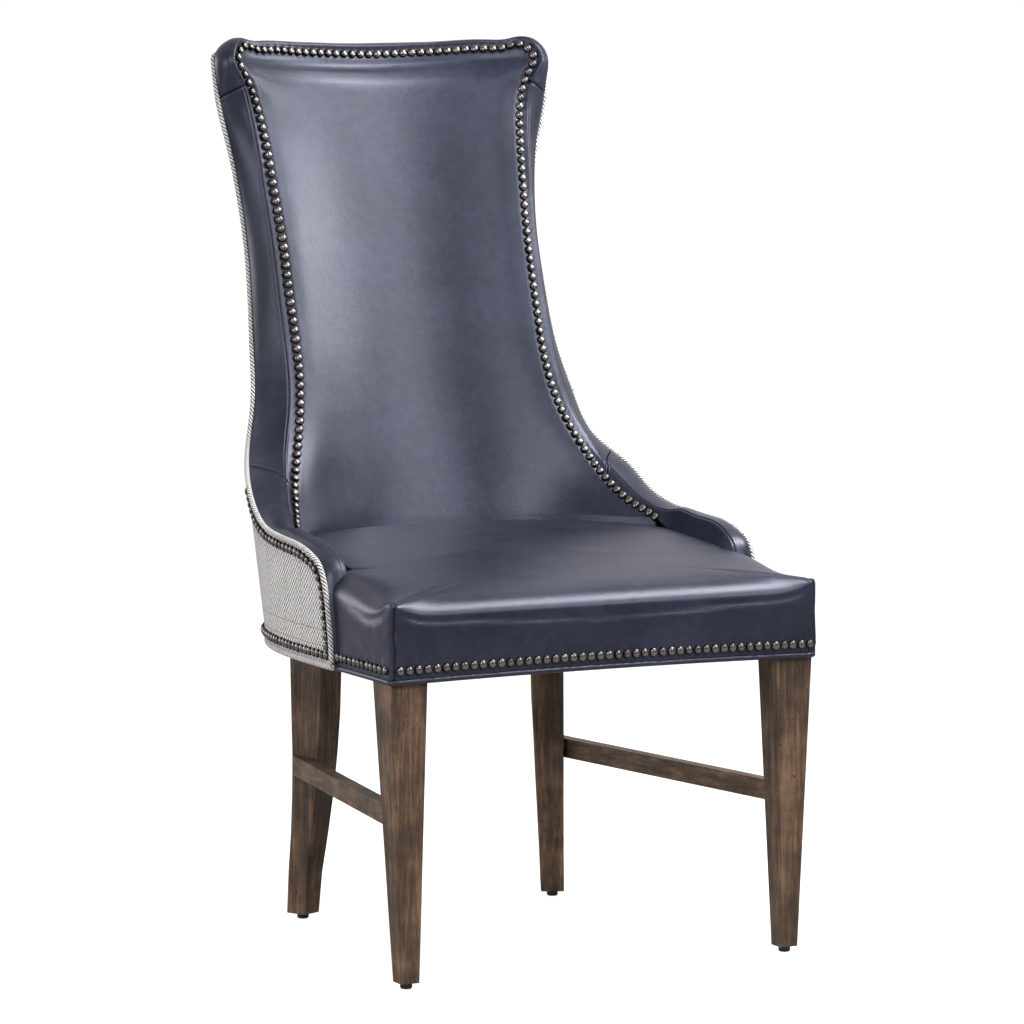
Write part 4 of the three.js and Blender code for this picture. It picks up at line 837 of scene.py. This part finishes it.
def edge_grid(places):
    """The edge's surface: columns run from the nail row over the ridge to the welt."""
    edge = Edge(places)
    flat = edge.inner + edge.shelf * SHELF
    past_ear = np.minimum(edge.places - EAR_SEAM, END - EAR_SEAM - edge.places)
    crest = smooth_step((past_ear + 6) / 18)[:, None]
    roundness = RIDGE_ROUND + (CREST_ROUND - RIDGE_ROUND) * crest
    bulge = SIDE_BULGE + (CREST_BULGE - SIDE_BULGE) * crest
    inward, outward = flat - edge.ridge, edge.outer - edge.ridge
    control = np.stack([
        edge.inner,
        flat,
        edge.ridge + 0.35 * inward + edge.facing * roundness,
        edge.ridge - edge.lifted * crest * CREST_SOFTNESS,
        edge.ridge + (0.07 + 0.06 * crest) * outward + edge.outward * roundness,
        edge.ridge + 0.36 * outward + edge.outward * bulge,
        edge.ridge + 0.7 * outward + edge.outward * bulge,
        edge.outer,
    ], axis=1)
    rows = []
    for points in control:
        knots = lengths(points)
        fine = np.linspace(0, knots[-1], 120)
        curve = spline(knots, points, fine)
        far = lengths(curve)
        ridge = np.interp(knots[3], fine, far)
        columns = np.concatenate([BEFORE_RIDGE * ridge, ridge + AFTER_RIDGE * (far[-1] - ridge)])
        rows.append(along(curve, columns))
    return edge, np.stack(rows)


def slanted_grid(places, first, last):
    """The edge's surface with its sections slanted near the arm seams, as those run."""
    edge, grid = edge_grid(places)
    dense = np.arange(max(first - 2 * SEAM_SLANT, 0), min(last + 2 * SEAM_SLANT, END), 1.5)
    wide = edge_grid(dense)[1]
    slant = bell(places - SEAM, SEAM_SLANT_REACH) - bell(places - END + SEAM, SEAM_SLANT_REACH)
    for column, share in enumerate(np.linspace(0, 1, grid.shape[1])):
        grid[:, column] = read_at(places + SEAM_SLANT * share * slant, dense, wide[:, column])
    return edge, grid


def arm_seams(first, last):
    """The arm seams that a leather piece ends at."""
    return [seam for seam in (SEAM, END - SEAM) if min(abs(first - seam), abs(last - seam)) < 1]


def edge_push(places, far, first, last, seed):
    """How far the leather stands out or in: seams, nails, soft folds and tucked ends."""
    from_ridge = far - far[:, [len(BEFORE_RIDGE) - 1]]
    past_ear = np.minimum(places - EAR_SEAM, END - EAR_SEAM - places)
    push = (1 - smooth_step((past_ear + 2) / 4))[:, None] * bells(from_ridge, SEAM_GROOVE)
    nailed = (places > SEAM * NAILED_SHARE) & (places < END - SEAM * NAILED_SHARE)
    push += nailed[:, None] * bell(far, 6.5) * (0.9 * swell(nail_phase(places))[:, None] - 0.25)
    push += soft_fold(places[:, None], seed, far, *EDGE_FOLDS[0])
    push += soft_fold(places[:, None], seed + 1, from_ridge, *EDGE_FOLDS[1])
    push += bells(np.minimum(places - first, last - places), END_GROOVE)[:, None]
    for seam in arm_seams(first, last):
        push += bells(np.abs(places - seam), STITCH_GROOVE)[:, None]
    return push


def edge_piece(name, first, last, nodes, seed):
    """One leather piece of the edge; gives the lines its stitches follow, with their normals."""
    places = np.linspace(first + 0.2, last - 0.2, max(int((last - first) / 1.9), 8))
    edge, grid = slanted_grid(places, first, last)
    normals = grid_normals(grid)
    if np.sum(normals[:, len(BEFORE_RIDGE) - 1] * edge.lifted) < 0:
        normals = -normals
    grid = grid + normals * edge_push(places, across_lengths(grid), first, last, seed)[..., None]
    piece = sheet_from_grid(name, grid, lambda p: Vector((p.x * 0.4, p.y * 0.2, 1.0)), EDGE_THICKNESS)
    settle(piece, LEATHER, "leather", *nodes)
    lines = []
    for seam in arm_seams(first, last):
        row = np.argmin(np.abs(np.abs(places - seam) - STITCH_INSET))
        lines.append((grid[row, 2:], normals[row, 2:]))
    return lines


def stitches(seam_lines):
    """Topstitching: short thread lengths that lie in the grooves beside the arm seams."""
    vertices, faces = [], []
    count = STITCH_SIDES * len(STITCH_RINGS)
    ends = [range(STITCH_SIDES - 1, -1, -1), range(count - STITCH_SIDES, count)]
    shape = grid_faces(len(STITCH_RINGS), STITCH_SIDES, closed=True) + ends
    for line, normals in seam_lines:
        marks = np.arange(STITCH_PITCH, lengths(line)[-1] - STITCH_PITCH, STITCH_PITCH)
        points, ups = along(line, marks), unit(along(line, marks, normals))
        for at, up, run in zip(points, ups, unit(np.gradient(points, axis=0))):
            side = unit(np.cross(run, up))
            faces += [tuple(len(vertices) + i for i in face) for face in shape]
            for far, size in STITCH_RINGS:
                for angle in np.linspace(0, 2 * np.pi, STITCH_SIDES, endpoint=False):
                    offset = side * math.cos(angle) + up * (math.sin(angle) + 0.4)
                    vertices.append(at + run * far * STITCH_LENGTH + offset * size * STITCH_RADIUS)
    piece = new_piece("arm_seam_stitching", vertices, faces)
    make_outward(piece)
    settle(piece, THREAD, "leather")


seam_lines = []
for side_name in ("right", "left"):
    for kind, first, last, nodes, seed in (
        ("arm_leather_", 0, SEAM, ["arm_cover_", "arm_pad_"], 3),
        ("side_leather_", SEAM, EAR_SEAM, ["side_border_", "side_pad_"], 5),
    ):
        if side_name == "left":
            first, last = END - last, END - first
        nodes = [node + side_name for node in nodes]
        seam_lines += edge_piece(kind + side_name, first, last, nodes, seed)
edge_piece("crest_leather", EAR_SEAM, END - EAR_SEAM, ["crest_border", "crest_pad"], 9)
stitches(seam_lines)


# The inside back


def inside_back():
    """The hollow leather back, drawn down between its nails."""
    rows = np.interp(np.linspace(0, NAIL_KNOTS[-1], BACK_ROWS), NAIL_KNOTS, np.arange(len(NAILS)))
    turn = np.linspace(-1, 1, BACK_COLUMNS)
    across = np.sign(turn) * (1 - (1 - np.abs(turn)) ** BACK_CROWDING)
    grid = inner_point(*np.meshgrid(rows, across, indexing="ij"), PAD_CROWN)
    tucked = grid[:1].repeat(TUCK_ROWS, axis=0)
    tucked[..., 2] = np.linspace(TUCK_HEIGHT, grid[0, :, 2] - 2, TUCK_ROWS, axis=0)
    tucked[..., 1] -= TUCK_SLOPE * (grid[0, :, 2] - tucked[..., 2])
    normals = grid_normals(grid)
    if normals[BACK_ROWS // 2, BACK_COLUMNS // 2, 1] > 0:
        normals = -normals
    from_nail = nearest_distance(grid, Edge(nail_places(0, END)).inner)
    line = Edge(np.linspace(SEAM * 0.8, END - SEAM * 0.8, 1500)).inner[::2]
    from_line = nearest_distance(grid, line)
    pucker = BACK_PUCKER * smooth_step((from_nail - 3.5) / 5)
    pucker = pucker * bell(from_line, 8) * smooth_step(from_line / 2)
    grid = np.concatenate([tucked, grid + normals * pucker[..., None]])
    away = Vector((0, -1, 0.2))
    piece = sheet_from_grid("inside_back_leather", grid, lambda p: away, BACK_THICKNESS)
    settle(piece, LEATHER, "leather", "inside_back_cover", "back_foam")


inside_back()


# Tweed outside


def outside_back():
    """The back panel, stretched from the base roll up to the welt under the crest."""
    dense = Edge(np.linspace(0, MIDDLE, 3000))
    line_x, line_z = dense.outer[dense.places >= SEAM][:, [0, 2]].T
    corner = np.argmax(line_z > line_z.max() - 0.05)
    line_z, line_x = line_z[: corner + 1], line_x[: corner + 1]
    heights = np.linspace(PANEL_BOTTOM, line_z.max() - 1.2, 110)
    wing_z, wing_x = line_z[0], line_x[0]
    rises = (heights - PANEL_BOTTOM) / (wing_z - PANEL_BOTTOM)
    lower = PANEL_SEAM_X + (wing_x - PANEL_SEAM_X) * rises
    half = np.where(heights < wing_z, lower, np.interp(heights, line_z, line_x)) - 1.6
    x = half[:, None] * np.linspace(-1, 1, 81)
    z = np.broadcast_to(heights[:, None], x.shape)
    grid = np.stack([x, wall_y(x, z), z], axis=-1)
    far = across_lengths(grid)
    uv = np.stack([far - far[:, [40]], z], axis=-1) * MM
    away = lambda p: Vector((p.x, 1, 0))
    piece = sheet_from_grid("outside_back_tweed", grid, away, PANEL_THICKNESS, uv)
    settle(piece, TWEED, "tweed", "outside_back")
    lengths(grid[:, 40])[-1]


def outside_arm(side_name, side):
    """An arm's outside panel, between the base roll, the front welt and the arm's welt."""
    outer = Edge(np.linspace(KNOTS[1] * 0.4, SEAM - 1, 60)).outer
    seam_y = float(wall_y(PANEL_SEAM_X, PANEL_BOTTOM))
    bottom_y = ARM_SETBACK + (seam_y - ARM_SETBACK) * np.linspace(0, 1, len(outer))
    rises = np.linspace(0, 1, 44) ** 0.9
    y = bottom_y[:, None] + (outer[:, 1] - bottom_y)[:, None] * rises
    z = PANEL_BOTTOM + (outer[:, 2] - PANEL_BOTTOM)[:, None] * rises
    grid = np.stack([wall_x(y, z) * side, y, z], axis=-1)
    uv = np.stack([y + 18, z], axis=-1) * MM
    name = "outside_arm_tweed_" + side_name
    piece = sheet_from_grid(name, grid, lambda p: Vector((side, 0, 0)), PANEL_THICKNESS, uv)
    settle(piece, TWEED, "tweed", "outside_arm_" + side_name)
    lengths(grid[:, 0])[-1]


outside_back()
outside_arm("right", 1)
outside_arm("left", -1)

welt_edge = Edge(np.linspace(0, END, 800))
back_line = welt_edge.outer
cord("back_welt_cord", "back_welt", back_line, WELT_RADIUS, TWEED_CORD, "tweed", welt_edge.lifted, 10)
roll_line = wall_path(SKIRT_HEIGHT + BASE_ROLL_RADIUS, BASE_ROLL_RADIUS / 2, 3.0)
cord("base_welt_roll", "base_welt", roll_line, BASE_ROLL_RADIUS, TWEED_CORD, "tweed")


# Seat


def seat_half(inset):
    """The seat's plan from the front's middle round the right side to the back's middle."""
    half, shoulder = SEAT_WIDTH / 2 - inset, SHOULDER_Y - inset
    radius = max(SEAT_CORNER - inset, SEAT_CORNER / 2)
    gone = radius * (1 - np.stack([np.sin(CORNER_TURNS), np.cos(CORNER_TURNS)], axis=1))
    corner = gone * [-1, 1] + [half, inset]
    sides = [(half, shoulder), (ARM_INNER_WIDTH / 2 + SEAT_PRESS - inset, shoulder)]
    back = inner_point(np.zeros(16), np.linspace(1, 0, 16), PAD_CROWN)
    back = back[:, :2] * [1 - (inset - SEAT_PRESS) / NAILS[0, 0], 1] + [0, SEAT_BACK_PRESS - inset]
    return np.array([(0, inset), *corner, *sides, *back])


def seat_outline(count=720):
    """The seat's plan as a closed line, its points crowded at the front corners."""
    right = seat_half(0)
    closed = np.concatenate([right, right[-2:0:-1] * [-1, 1], right[:1]])
    line = along(closed, np.linspace(0, lengths(closed)[-1], 4000))
    far = lengths(line)
    close = bell(np.hypot(SEAT_WIDTH / 2 - np.abs(line[:, 0]), line[:, 1]), CORNER_CROWDING_REACH)
    crowding = np.concatenate([[0], np.cumsum((1 + CORNER_CROWDING * close[1:]) * np.diff(far))])
    return along(line, np.interp(np.linspace(0, crowding[-1], count, endpoint=False), crowding, far))


def seat_arch(x, y):
    return np.where(y < SEAT_CORNER, SKIRT_ARCH * (1 - (x / (SEAT_WIDTH / 2)) ** 2), 0)


def seat_top(x, y):
    """The top's height away from its edges."""
    back = np.clip(y / SEAT_DEPTH, 0, 1)
    across = np.clip(x / (SEAT_WIDTH / 2), -1, 1)
    slope = (SEAT_HEIGHT - SEAT_EDGE_HEIGHT) * (1 - (1 - back) ** SEAT_SLOPE_POWER)
    return SEAT_EDGE_HEIGHT + slope + SEAT_CROWN * (1 - across**2) * np.sin(np.pi * back)


def seat_surface(x, y):
    """The top's height before it is filled: a tight roll at the front, wide ones at the sides,
    pinched corners, and a faint ridge that runs inwards from each corner."""
    from_side = np.maximum(SEAT_WIDTH / 2 - np.abs(x), 0)
    from_front = np.maximum(y, 0)
    back = smooth_step(from_front / ARM_SETBACK)
    fade = 1 - smooth_step((from_front - SHOULDER_Y) / SEAT_SIDE_FADE)
    front_drop = SEAT_ROLL_DROP * (1 - CORNER_EASE * bell(from_side, CORNER_EASE_REACH))
    side_drop = SEAT_SIDE_DROP * (1 - CORNER_PINCH * bell(from_front, CORNER_PINCH_REACH)) * fade
    side_run = SEAT_SIDE_RUN + (ARM_WIDTH - 6 - SEAT_SIDE_RUN) * back
    front_roll = front_drop * (1 - rounded(from_front, SEAT_ROLL_RUN))
    side_roll = side_drop * (1 - rounded(from_side, side_run))
    width = RIDGE_FOLD_WIDTH + RIDGE_FOLD_SPREAD * from_side
    ridge = bell(from_front - RIDGE_FOLD_SLOPE * from_side, width)
    ridge = ridge * smooth_step(from_side / RIDGE_FOLD_START) * bell(from_side, RIDGE_FOLD_REACH)
    corner = bell(np.hypot(from_side, from_front), CORNER_RISE_REACH)
    drop = np.hypot(front_roll, side_roll)
    return seat_top(x, y) + RIDGE_FOLD_RISE * ridge + CORNER_RISE * corner - drop


def seat_start(wide, front):
    """The seat before it is filled: its sides, and rings that shrink to its middle."""
    foot = np.where(front, SEAT_FOOT - 1, SEAT_HIDDEN_FOOT) + seat_arch(*wide.T)
    crevice = np.where(front, 0, SEAT_CREVICE_ROUND)
    edge = seat_surface(*wide.T) - crevice
    rises = np.linspace(0, 1, SEAT_WALL_RINGS, endpoint=False)
    walls = [np.column_stack([wide, foot + (edge - foot) * rise]) for rise in rises]
    rolled = SEAT_ROLL_SHARE * (1 - np.cos(np.radians(np.linspace(0, 90, SEAT_ROLL_RINGS))))
    tops = []
    for share in [*rolled, *np.linspace(SEAT_ROLL_SHARE, 1, SEAT_TOP_RINGS + 1)[1:-1]]:
        place = wide + (SEAT_MIDDLE - wide) * share
        gone = np.linalg.norm(place - wide, axis=1)
        height = seat_surface(*place.T) - crevice * (1 - rounded(gone, SEAT_CREVICE_ROUND))
        tops.append(np.column_stack([place, height]))
    return np.stack(walls + tops)


def closed_seat(name, grid):
    """The seat's rings as one closed piece, with a point over and a point under them."""
    return closed_piece(name, grid, [*SEAT_MIDDLE, float(seat_top(*SEAT_MIDDLE))], SEAT_UNDERSIDE)


def filled(grid, held):
    """Fills the covering with a cloth simulation on every second ring and point, its moves
    capped at a few millimetres, and gives the moves of the whole grid."""
    coarse = grid[::2, ::2]
    piece = closed_seat("seat_filling", coarse)
    start = np.array([v.co for v in piece.data.vertices])
    group = piece.vertex_groups.new(name="held")
    for index, weight in enumerate(np.concatenate([held[::2, ::2].ravel(), [0, 1]])):
        if weight > 0.01:
            group.add([index], float(weight), "REPLACE")
    cloth = piece.modifiers.new("filling", "CLOTH")
    for setting, value in FILLING.items():
        setattr(cloth.settings, setting, value)
    cloth.settings.effector_weights.gravity = 0
    cloth.collision_settings.use_collision = False
    scene = bpy.context.scene
    scene.frame_start, scene.frame_end = 1, FILL_FRAMES
    cloth.point_cache.frame_start, cloth.point_cache.frame_end = 1, FILL_FRAMES
    for step in range(1, FILL_FRAMES + 1):
        scene.frame_set(step)
    result = piece.evaluated_get(bpy.context.evaluated_depsgraph_get())
    moved = (np.array([v.co for v in result.data.vertices]) - start)[:-2] / MM
    bpy.data.objects.remove(piece)
    scene.frame_set(1)
    far = np.linalg.norm(moved, axis=1, keepdims=True)
    moved = moved * (SEAT_FILL_MOVE * np.tanh(far / SEAT_FILL_MOVE) / np.maximum(far, 1e-9))
    moved = moved.reshape(coarse.shape)
    rows = np.arange(grid.shape[0]) / 2
    low = np.minimum(rows.astype(int), len(moved) - 2)
    moved = moved[low] + (moved[low + 1] - moved[low]) * (rows - low)[:, None, None]
    whole = np.empty(grid.shape)
    whole[:, ::2] = moved
    whole[:, 1::2] = (moved + np.roll(moved, -1, axis=1)) / 2
    return whole


def tuck_shoulders(grid):
    """Draws the seat's top in over each arm's nose."""
    x, y, z = np.moveaxis(grid, -1, 0)
    tucked = smooth_step((z - TUCK_LOW) / 22) * smooth_step((np.abs(x) - TUCK_INNER) / 8)
    tucked = tucked * smooth_step((y - ARM_SETBACK + 4) / 7)
    grid[..., 1] += tucked * np.clip(SHOULDER_Y + SHOULDER_TUCK - y, 0, SHOULDER_TUCK)


def smoothed(grid, soft):
    """Evens the grid where it is soft."""
    for _ in range(SEAT_SMOOTHINGS):
        near = np.roll(grid, 1, axis=1) + np.roll(grid, -1, axis=1)
        near[1:-1] += grid[2:] + grid[:-2]
        near[1:-1] /= 4
        near[[0, -1]] /= 2
        grid = grid + 0.5 * soft * (near - grid)
    return grid


def corner_pleats(z, from_corner, height):
    """A crease just inside each front corner, its lip folded over it."""
    wander = PLEAT_PLACE + 0.7 * np.sin(height / 11) + 0.4 * np.sin(height / 4.3)
    return smooth_step((SEAT_EDGE_HEIGHT + 4 - z) / 8) * bells(from_corner - wander, PLEAT)


def nail_pulls(wide, height):
    """The nails draw the leather in at the foot, and soft folds rise from them."""
    line = lengths(wide)
    x, y = wide.T
    pitches = np.where(y < SEAT_CORNER, x, y - SIDE_NAIL_START) / NAIL_PITCH
    above = height - (NAIL_ROW_HEIGHT - SEAT_FOOT)
    push = swell(pitches) * bells(above, SEAT_PUFF) + bells(above, SEAT_DRAW)
    push += soft_fold(line, 51, above, *SEAT_FOLDS[0])
    return push + soft_fold(line, 52, height, *SEAT_FOLDS[1])


def drag_folds(folds, distance, height, middle, spread):
    """Folds that lean away from a corner as they rise."""
    push = sum(
        size * bell(distance - reach - lean * height, width) for reach, lean, size, width in folds
    )
    return push * bell(height - middle, spread)


def sat_dips(x, y):
    """Faint dips and creases where the seat is sat on."""
    source = np.random.default_rng(61)
    push = np.zeros(x.shape)
    for _ in range(SEAT_DIPS):
        centre = source.uniform([-190, 30], [190, 380])
        turn, long, wide = source.uniform(-0.5, 0.5), source.uniform(50, 110), source.uniform(9, 20)
        dx, dy = x - centre[0], y - centre[1]
        u = dx * math.cos(turn) + dy * math.sin(turn)
        v = dy * math.cos(turn) - dx * math.sin(turn)
        push += source.uniform(-0.8, 0.6) * bell(u, long) * bell(v, wide)
    return push


def seat():
    """The fixed seat: leather pulled over a crowned foam block and nailed at the skirt."""
    wide = seat_outline()
    front = wide[:, 1] < SHOULDER_Y - 2
    grid = seat_start(wide, front)
    ring = np.arange(len(grid))[:, None]
    beside = SEAT_WIDTH / 2 - np.abs(wide[:, 0])
    corner = np.hypot(beside, wide[:, 1])
    shoulder = np.hypot(beside, wide[:, 1] - ARM_SETBACK)
    held = (ring < SEAT_WALL_RINGS + 4) * np.maximum(bell(corner, 9), bell(shoulder, 12))
    held[(ring < 5) | ((ring < SEAT_WALL_RINGS + 2) & ~front)] = 1
    grid = grid + filled(grid, held)
    tuck_shoulders(grid)
    soft = smooth_step((ring - SEAT_WALL_RINGS - 3) / 6) * (1 - bell(corner, 14))
    grid = smoothed(grid, soft[..., None])
    around = np.roll(grid, -1, axis=1) - np.roll(grid, 1, axis=1)
    normals = unit(np.cross(around, np.gradient(grid, axis=0)))
    if normals[4, np.argmin(np.abs(wide[:, 0]) + wide[:, 1]), 1] > 0:
        normals = -normals
    x, y, z = np.moveaxis(grid, -1, 0)
    height, from_corner = z - SEAT_FOOT, SEAT_WIDTH / 2 - np.abs(x)
    on_front = (ring < SEAT_WALL_RINGS + SEAT_ROLL_RINGS) & front
    on_face = on_front & (y < 22)
    push = on_face * corner_pleats(z, from_corner, height) + on_front * nail_pulls(wide, height)
    push += on_front * (y > 10) * drag_folds(SIDE_FOLDS, y, height, 22, 24)
    push += on_face * (np.abs(x) > 100) * drag_folds(FRONT_FOLDS, from_corner, height, 26, 26)
    push += smooth_step((ring - SEAT_WALL_RINGS - 4) / 10) * sat_dips(x, y)
    piece = closed_seat("seat_leather", grid + normals * push[..., None])
    settle(piece, LEATHER, "leather", "seat_cover", "seat_foam")
    return piece


def seat_front_line(inset, step):
    """The plan line round the seat's front, from the right shoulder to the left one."""
    half = seat_half(inset)[: len(CORNER_TURNS) + 2]
    line = np.concatenate([half[::-1], half[1:] * [-1, 1]])
    line = np.column_stack([line, seat_arch(line[:, 0], line[:, 1])])
    total = lengths(line)[-1]
    return along(line, np.linspace(0, total, int(total / step)))


SEAT = seat()
welt_line = seat_front_line(SEAT_WELT_RADIUS / 2, 3.0)
welt_line[:, 2] = SKIRT_HEIGHT + SEAT_WELT_RADIUS + seat_arch(welt_line[:, 0], welt_line[:, 1])
cord("seat_welt_cord", "seat_welt", welt_line, SEAT_WELT_RADIUS, LEATHER, "leather")


# Nail rows


def nail_shape():
    """One nail head: a domed cap with a turned-down rim, its axis along +Z."""
    bpy.ops.object.select_all(action="DESELECT")
    bpy.ops.mesh.primitive_uv_sphere_add(segments=16, ring_count=12, radius=1, location=(0, 0, 0))
    ball = bpy.context.active_object
    bpy.ops.object.mode_set(mode="EDIT")
    bpy.ops.mesh.select_all(action="SELECT")
    bpy.ops.mesh.bisect(plane_co=(0, 0, NAIL_CUT), plane_no=(0, 0, 1), clear_inner=True)
    bpy.ops.mesh.select_all(action="SELECT")
    size = (NAIL_WIDTH / 2, NAIL_WIDTH / 2, NAIL_RISE)
    bpy.ops.transform.resize(value=size, center_override=(0, 0, 0))
    bpy.ops.object.mode_set(mode="OBJECT")
    vertices = np.array([v.co for v in ball.data.vertices])
    faces = [tuple(p.vertices) for p in ball.data.polygons]
    bpy.data.objects.remove(ball)
    return vertices, faces


NAIL_VERTICES, NAIL_FACES = nail_shape()


def nail_row(name, node, points, facings, runs, seed):
    """A row of nail heads, each a copy of the one shape, driven in not quite alike."""
    source = np.random.default_rng(seed)
    vertices, faces, wear = [], [], []
    for at, facing, run in zip(points, facings, runs):
        tilt = unit(facing + NAIL_TILT * source.standard_normal(3))
        side = unit(np.cross(run, tilt))
        forward = np.cross(side, tilt)
        sunk = source.uniform(-NAIL_SINK, NAIL_SINK)
        local = NAIL_VERTICES * source.uniform(0.97, 1.03)
        start = len(vertices) * len(NAIL_VERTICES)
        lifted = local + [0, 0, sunk + NAIL_STAND]
        vertices.append(at + lifted @ np.stack([forward, side, tilt]))
        faces += [tuple(i + start for i in f) for f in NAIL_FACES]
        wear.append(local[:, 2] / NAIL_RISE + source.uniform(-NAIL_WEAR, NAIL_WEAR))
    piece = new_piece(name, np.concatenate(vertices), faces)
    attribute = piece.data.attributes.new("wear", "FLOAT", "POINT")
    attribute.data.foreach_set("value", np.concatenate(wear).astype(np.float32))
    settle(piece, NAIL, "nail_heads", node)


def inside_nails():
    edge = Edge(nail_places(KNOTS[FIRST_SIDE] - 4, END - KNOTS[FIRST_SIDE] + 4))
    points = edge.inner + edge.facing * 0.6
    nail_row("inside_back_nail_heads", "inside_back_nails", points, edge.facing, edge.run, 11)


def wall_nails(name, node, line, first, short, seed, side=1):
    """A row on the outer wall, along a line from a first distance to short of its end."""
    points = along(line, np.arange(first, lengths(line)[-1] - short, NAIL_PITCH))
    facings, runs = wall_facing(points), unit(np.gradient(points, axis=0))
    row = [values * [side, 1, 1] for values in (points + facings * 0.4, facings, runs)]
    nail_row(name, node, *row, seed)


def arm_nails(side_name, side):
    """The row beside an arm's welt, on the outside panel."""
    edge = Edge(np.linspace(KNOTS[1] * 0.6, SEAM - 6, 400))
    facing = wall_facing(edge.outer)
    inward = unit(-edge.lifted + facing * np.sum(edge.lifted * facing, axis=1, keepdims=True))
    line = edge.outer + inward * EDGE_NAIL_INSET
    line[:, 0] = wall_x(line[:, 1], line[:, 2])
    wall_nails("arm_nail_heads_" + side_name, "arm_nails_" + side_name, line, 3, 0, 21, side)


def seat_nails():
    """The row along the skirt, each nail set where the leather lies."""
    across = np.arange(-23, 24) * NAIL_PITCH
    arch = SKIRT_ARCH * (1 - (across / (SEAT_WIDTH / 2)) ** 2)
    front = np.column_stack([across, np.full(len(across), -0.9), NAIL_ROW_HEIGHT + arch])
    depth = np.arange(SIDE_NAIL_START, ARM_SETBACK - 1, NAIL_PITCH)
    side = depth[:, None] * [0, 1, 0] + [SEAT_WIDTH / 2 + 1, 0, NAIL_ROW_HEIGHT]
    points = np.concatenate([side[::-1], front[::-1], side * [-1, 1, 1]])
    ways, counts = [[1.0, 0, 0], [0, -1.0, 0], [-1.0, 0, 0]], [len(side), len(front), len(side)]
    facings = np.repeat(ways, counts, axis=0)
    runs = np.cross(facings, [0, 0, 1.0])
    for i, (point, facing) in enumerate(zip(points, facings)):
        begin = Vector((point + facing * 25 + [0, FRONT_Y, 0]) * MM)
        hit, place, normal, _ = SEAT.ray_cast(begin, -Vector(facing))
        if hit:
            points[i] = np.array(place) / MM - [0, FRONT_Y, 0] + facing * 0.2
            facings[i] = unit(facing * 2 + np.array(normal))
    nail_row("seat_nail_heads", "seat_nails", points, facings, runs, 41)


inside_nails()
arm_nails("right", 1)
arm_nails("left", -1)
wall_nails("base_nail_heads", "base_nails", wall_path(NAIL_ROW_HEIGHT, 0, 1.0), 9, 6, 31)
seat_nails()


# Floor, light and camera


def pale_floor():
    """A plain floor that looks as pale as the room to the camera, and takes soft shadows."""
    nodes = Nodes(bpy.data.materials.new("pale_floor"))
    material = nodes.done(
        Base_Color=(0.35, 0.35, 0.35, 1),
        Roughness=0.9,
        Specular_IOR_Level=0.1,
        Emission_Color=(1, 1, 1, 1),
        Emission_Strength=nodes.sums("MULTIPLY", nodes.add("LightPath")["Is Camera Ray"], 0.88),
    )
    bpy.ops.object.select_all(action="DESELECT")
    bpy.ops.mesh.primitive_plane_add(size=400, location=(0, 0, -0.0002))
    floor = bpy.context.active_object
    floor.name = "floor"
    floor.data.materials.append(material)
    return floor


def place_object(name, data, place, way):
    """Puts a light or camera in its place, looking along a way."""
    placed = bpy.data.objects.new(name, data)
    placed.location = place
    placed.rotation_euler = Vector(way).to_track_quat("-Z", "Y").to_euler()
    bpy.context.scene.collection.objects.link(placed)
    return placed


def studio_world():
    """A white room to the camera; it lights the chair softly, more from one side."""
    nodes = Nodes(bpy.data.worlds.new("studio"), "Background")
    way = nodes.add("TexCoord")["Generated"]
    turned = nodes.add("VectorMath", {"operation": "DOT_PRODUCT"}, i0=way, i1=SKY_WAY)["Value"]
    limits = {"From_Min": -0.7, "From_Max": 0.9, "To_Min": 0.08, "To_Max": 0.75}
    bright = nodes.add("MapRange", {"interpolation_type": "SMOOTHSTEP"}, Value=turned, **limits)[0]
    seen = nodes.add("LightPath")["Is Camera Ray"]
    return nodes.done(Color=(1, 1, 1, 1), Strength=nodes.blend(seen, bright, 1.0))


pale_floor()
for light_name, (place, target, width, height, power) in SOFTBOXES.items():
    light = bpy.data.lights.new(light_name, "AREA")
    light.shape = "RECTANGLE"
    light.size, light.size_y, light.energy = width, height, power
    place_object(light_name, light, place, Vector(target) - Vector(place))
bpy.context.scene.world = studio_world()

lens = bpy.data.cameras.new("camera")
lens.lens = CAMERA_LENS
lens.sensor_width = 36
lens.clip_end = 500
bpy.context.scene.camera = place_object("camera", lens, CAMERA_PLACE, CAMERA_WAY)
bpy.context.scene.view_settings.view_transform = "Standard"
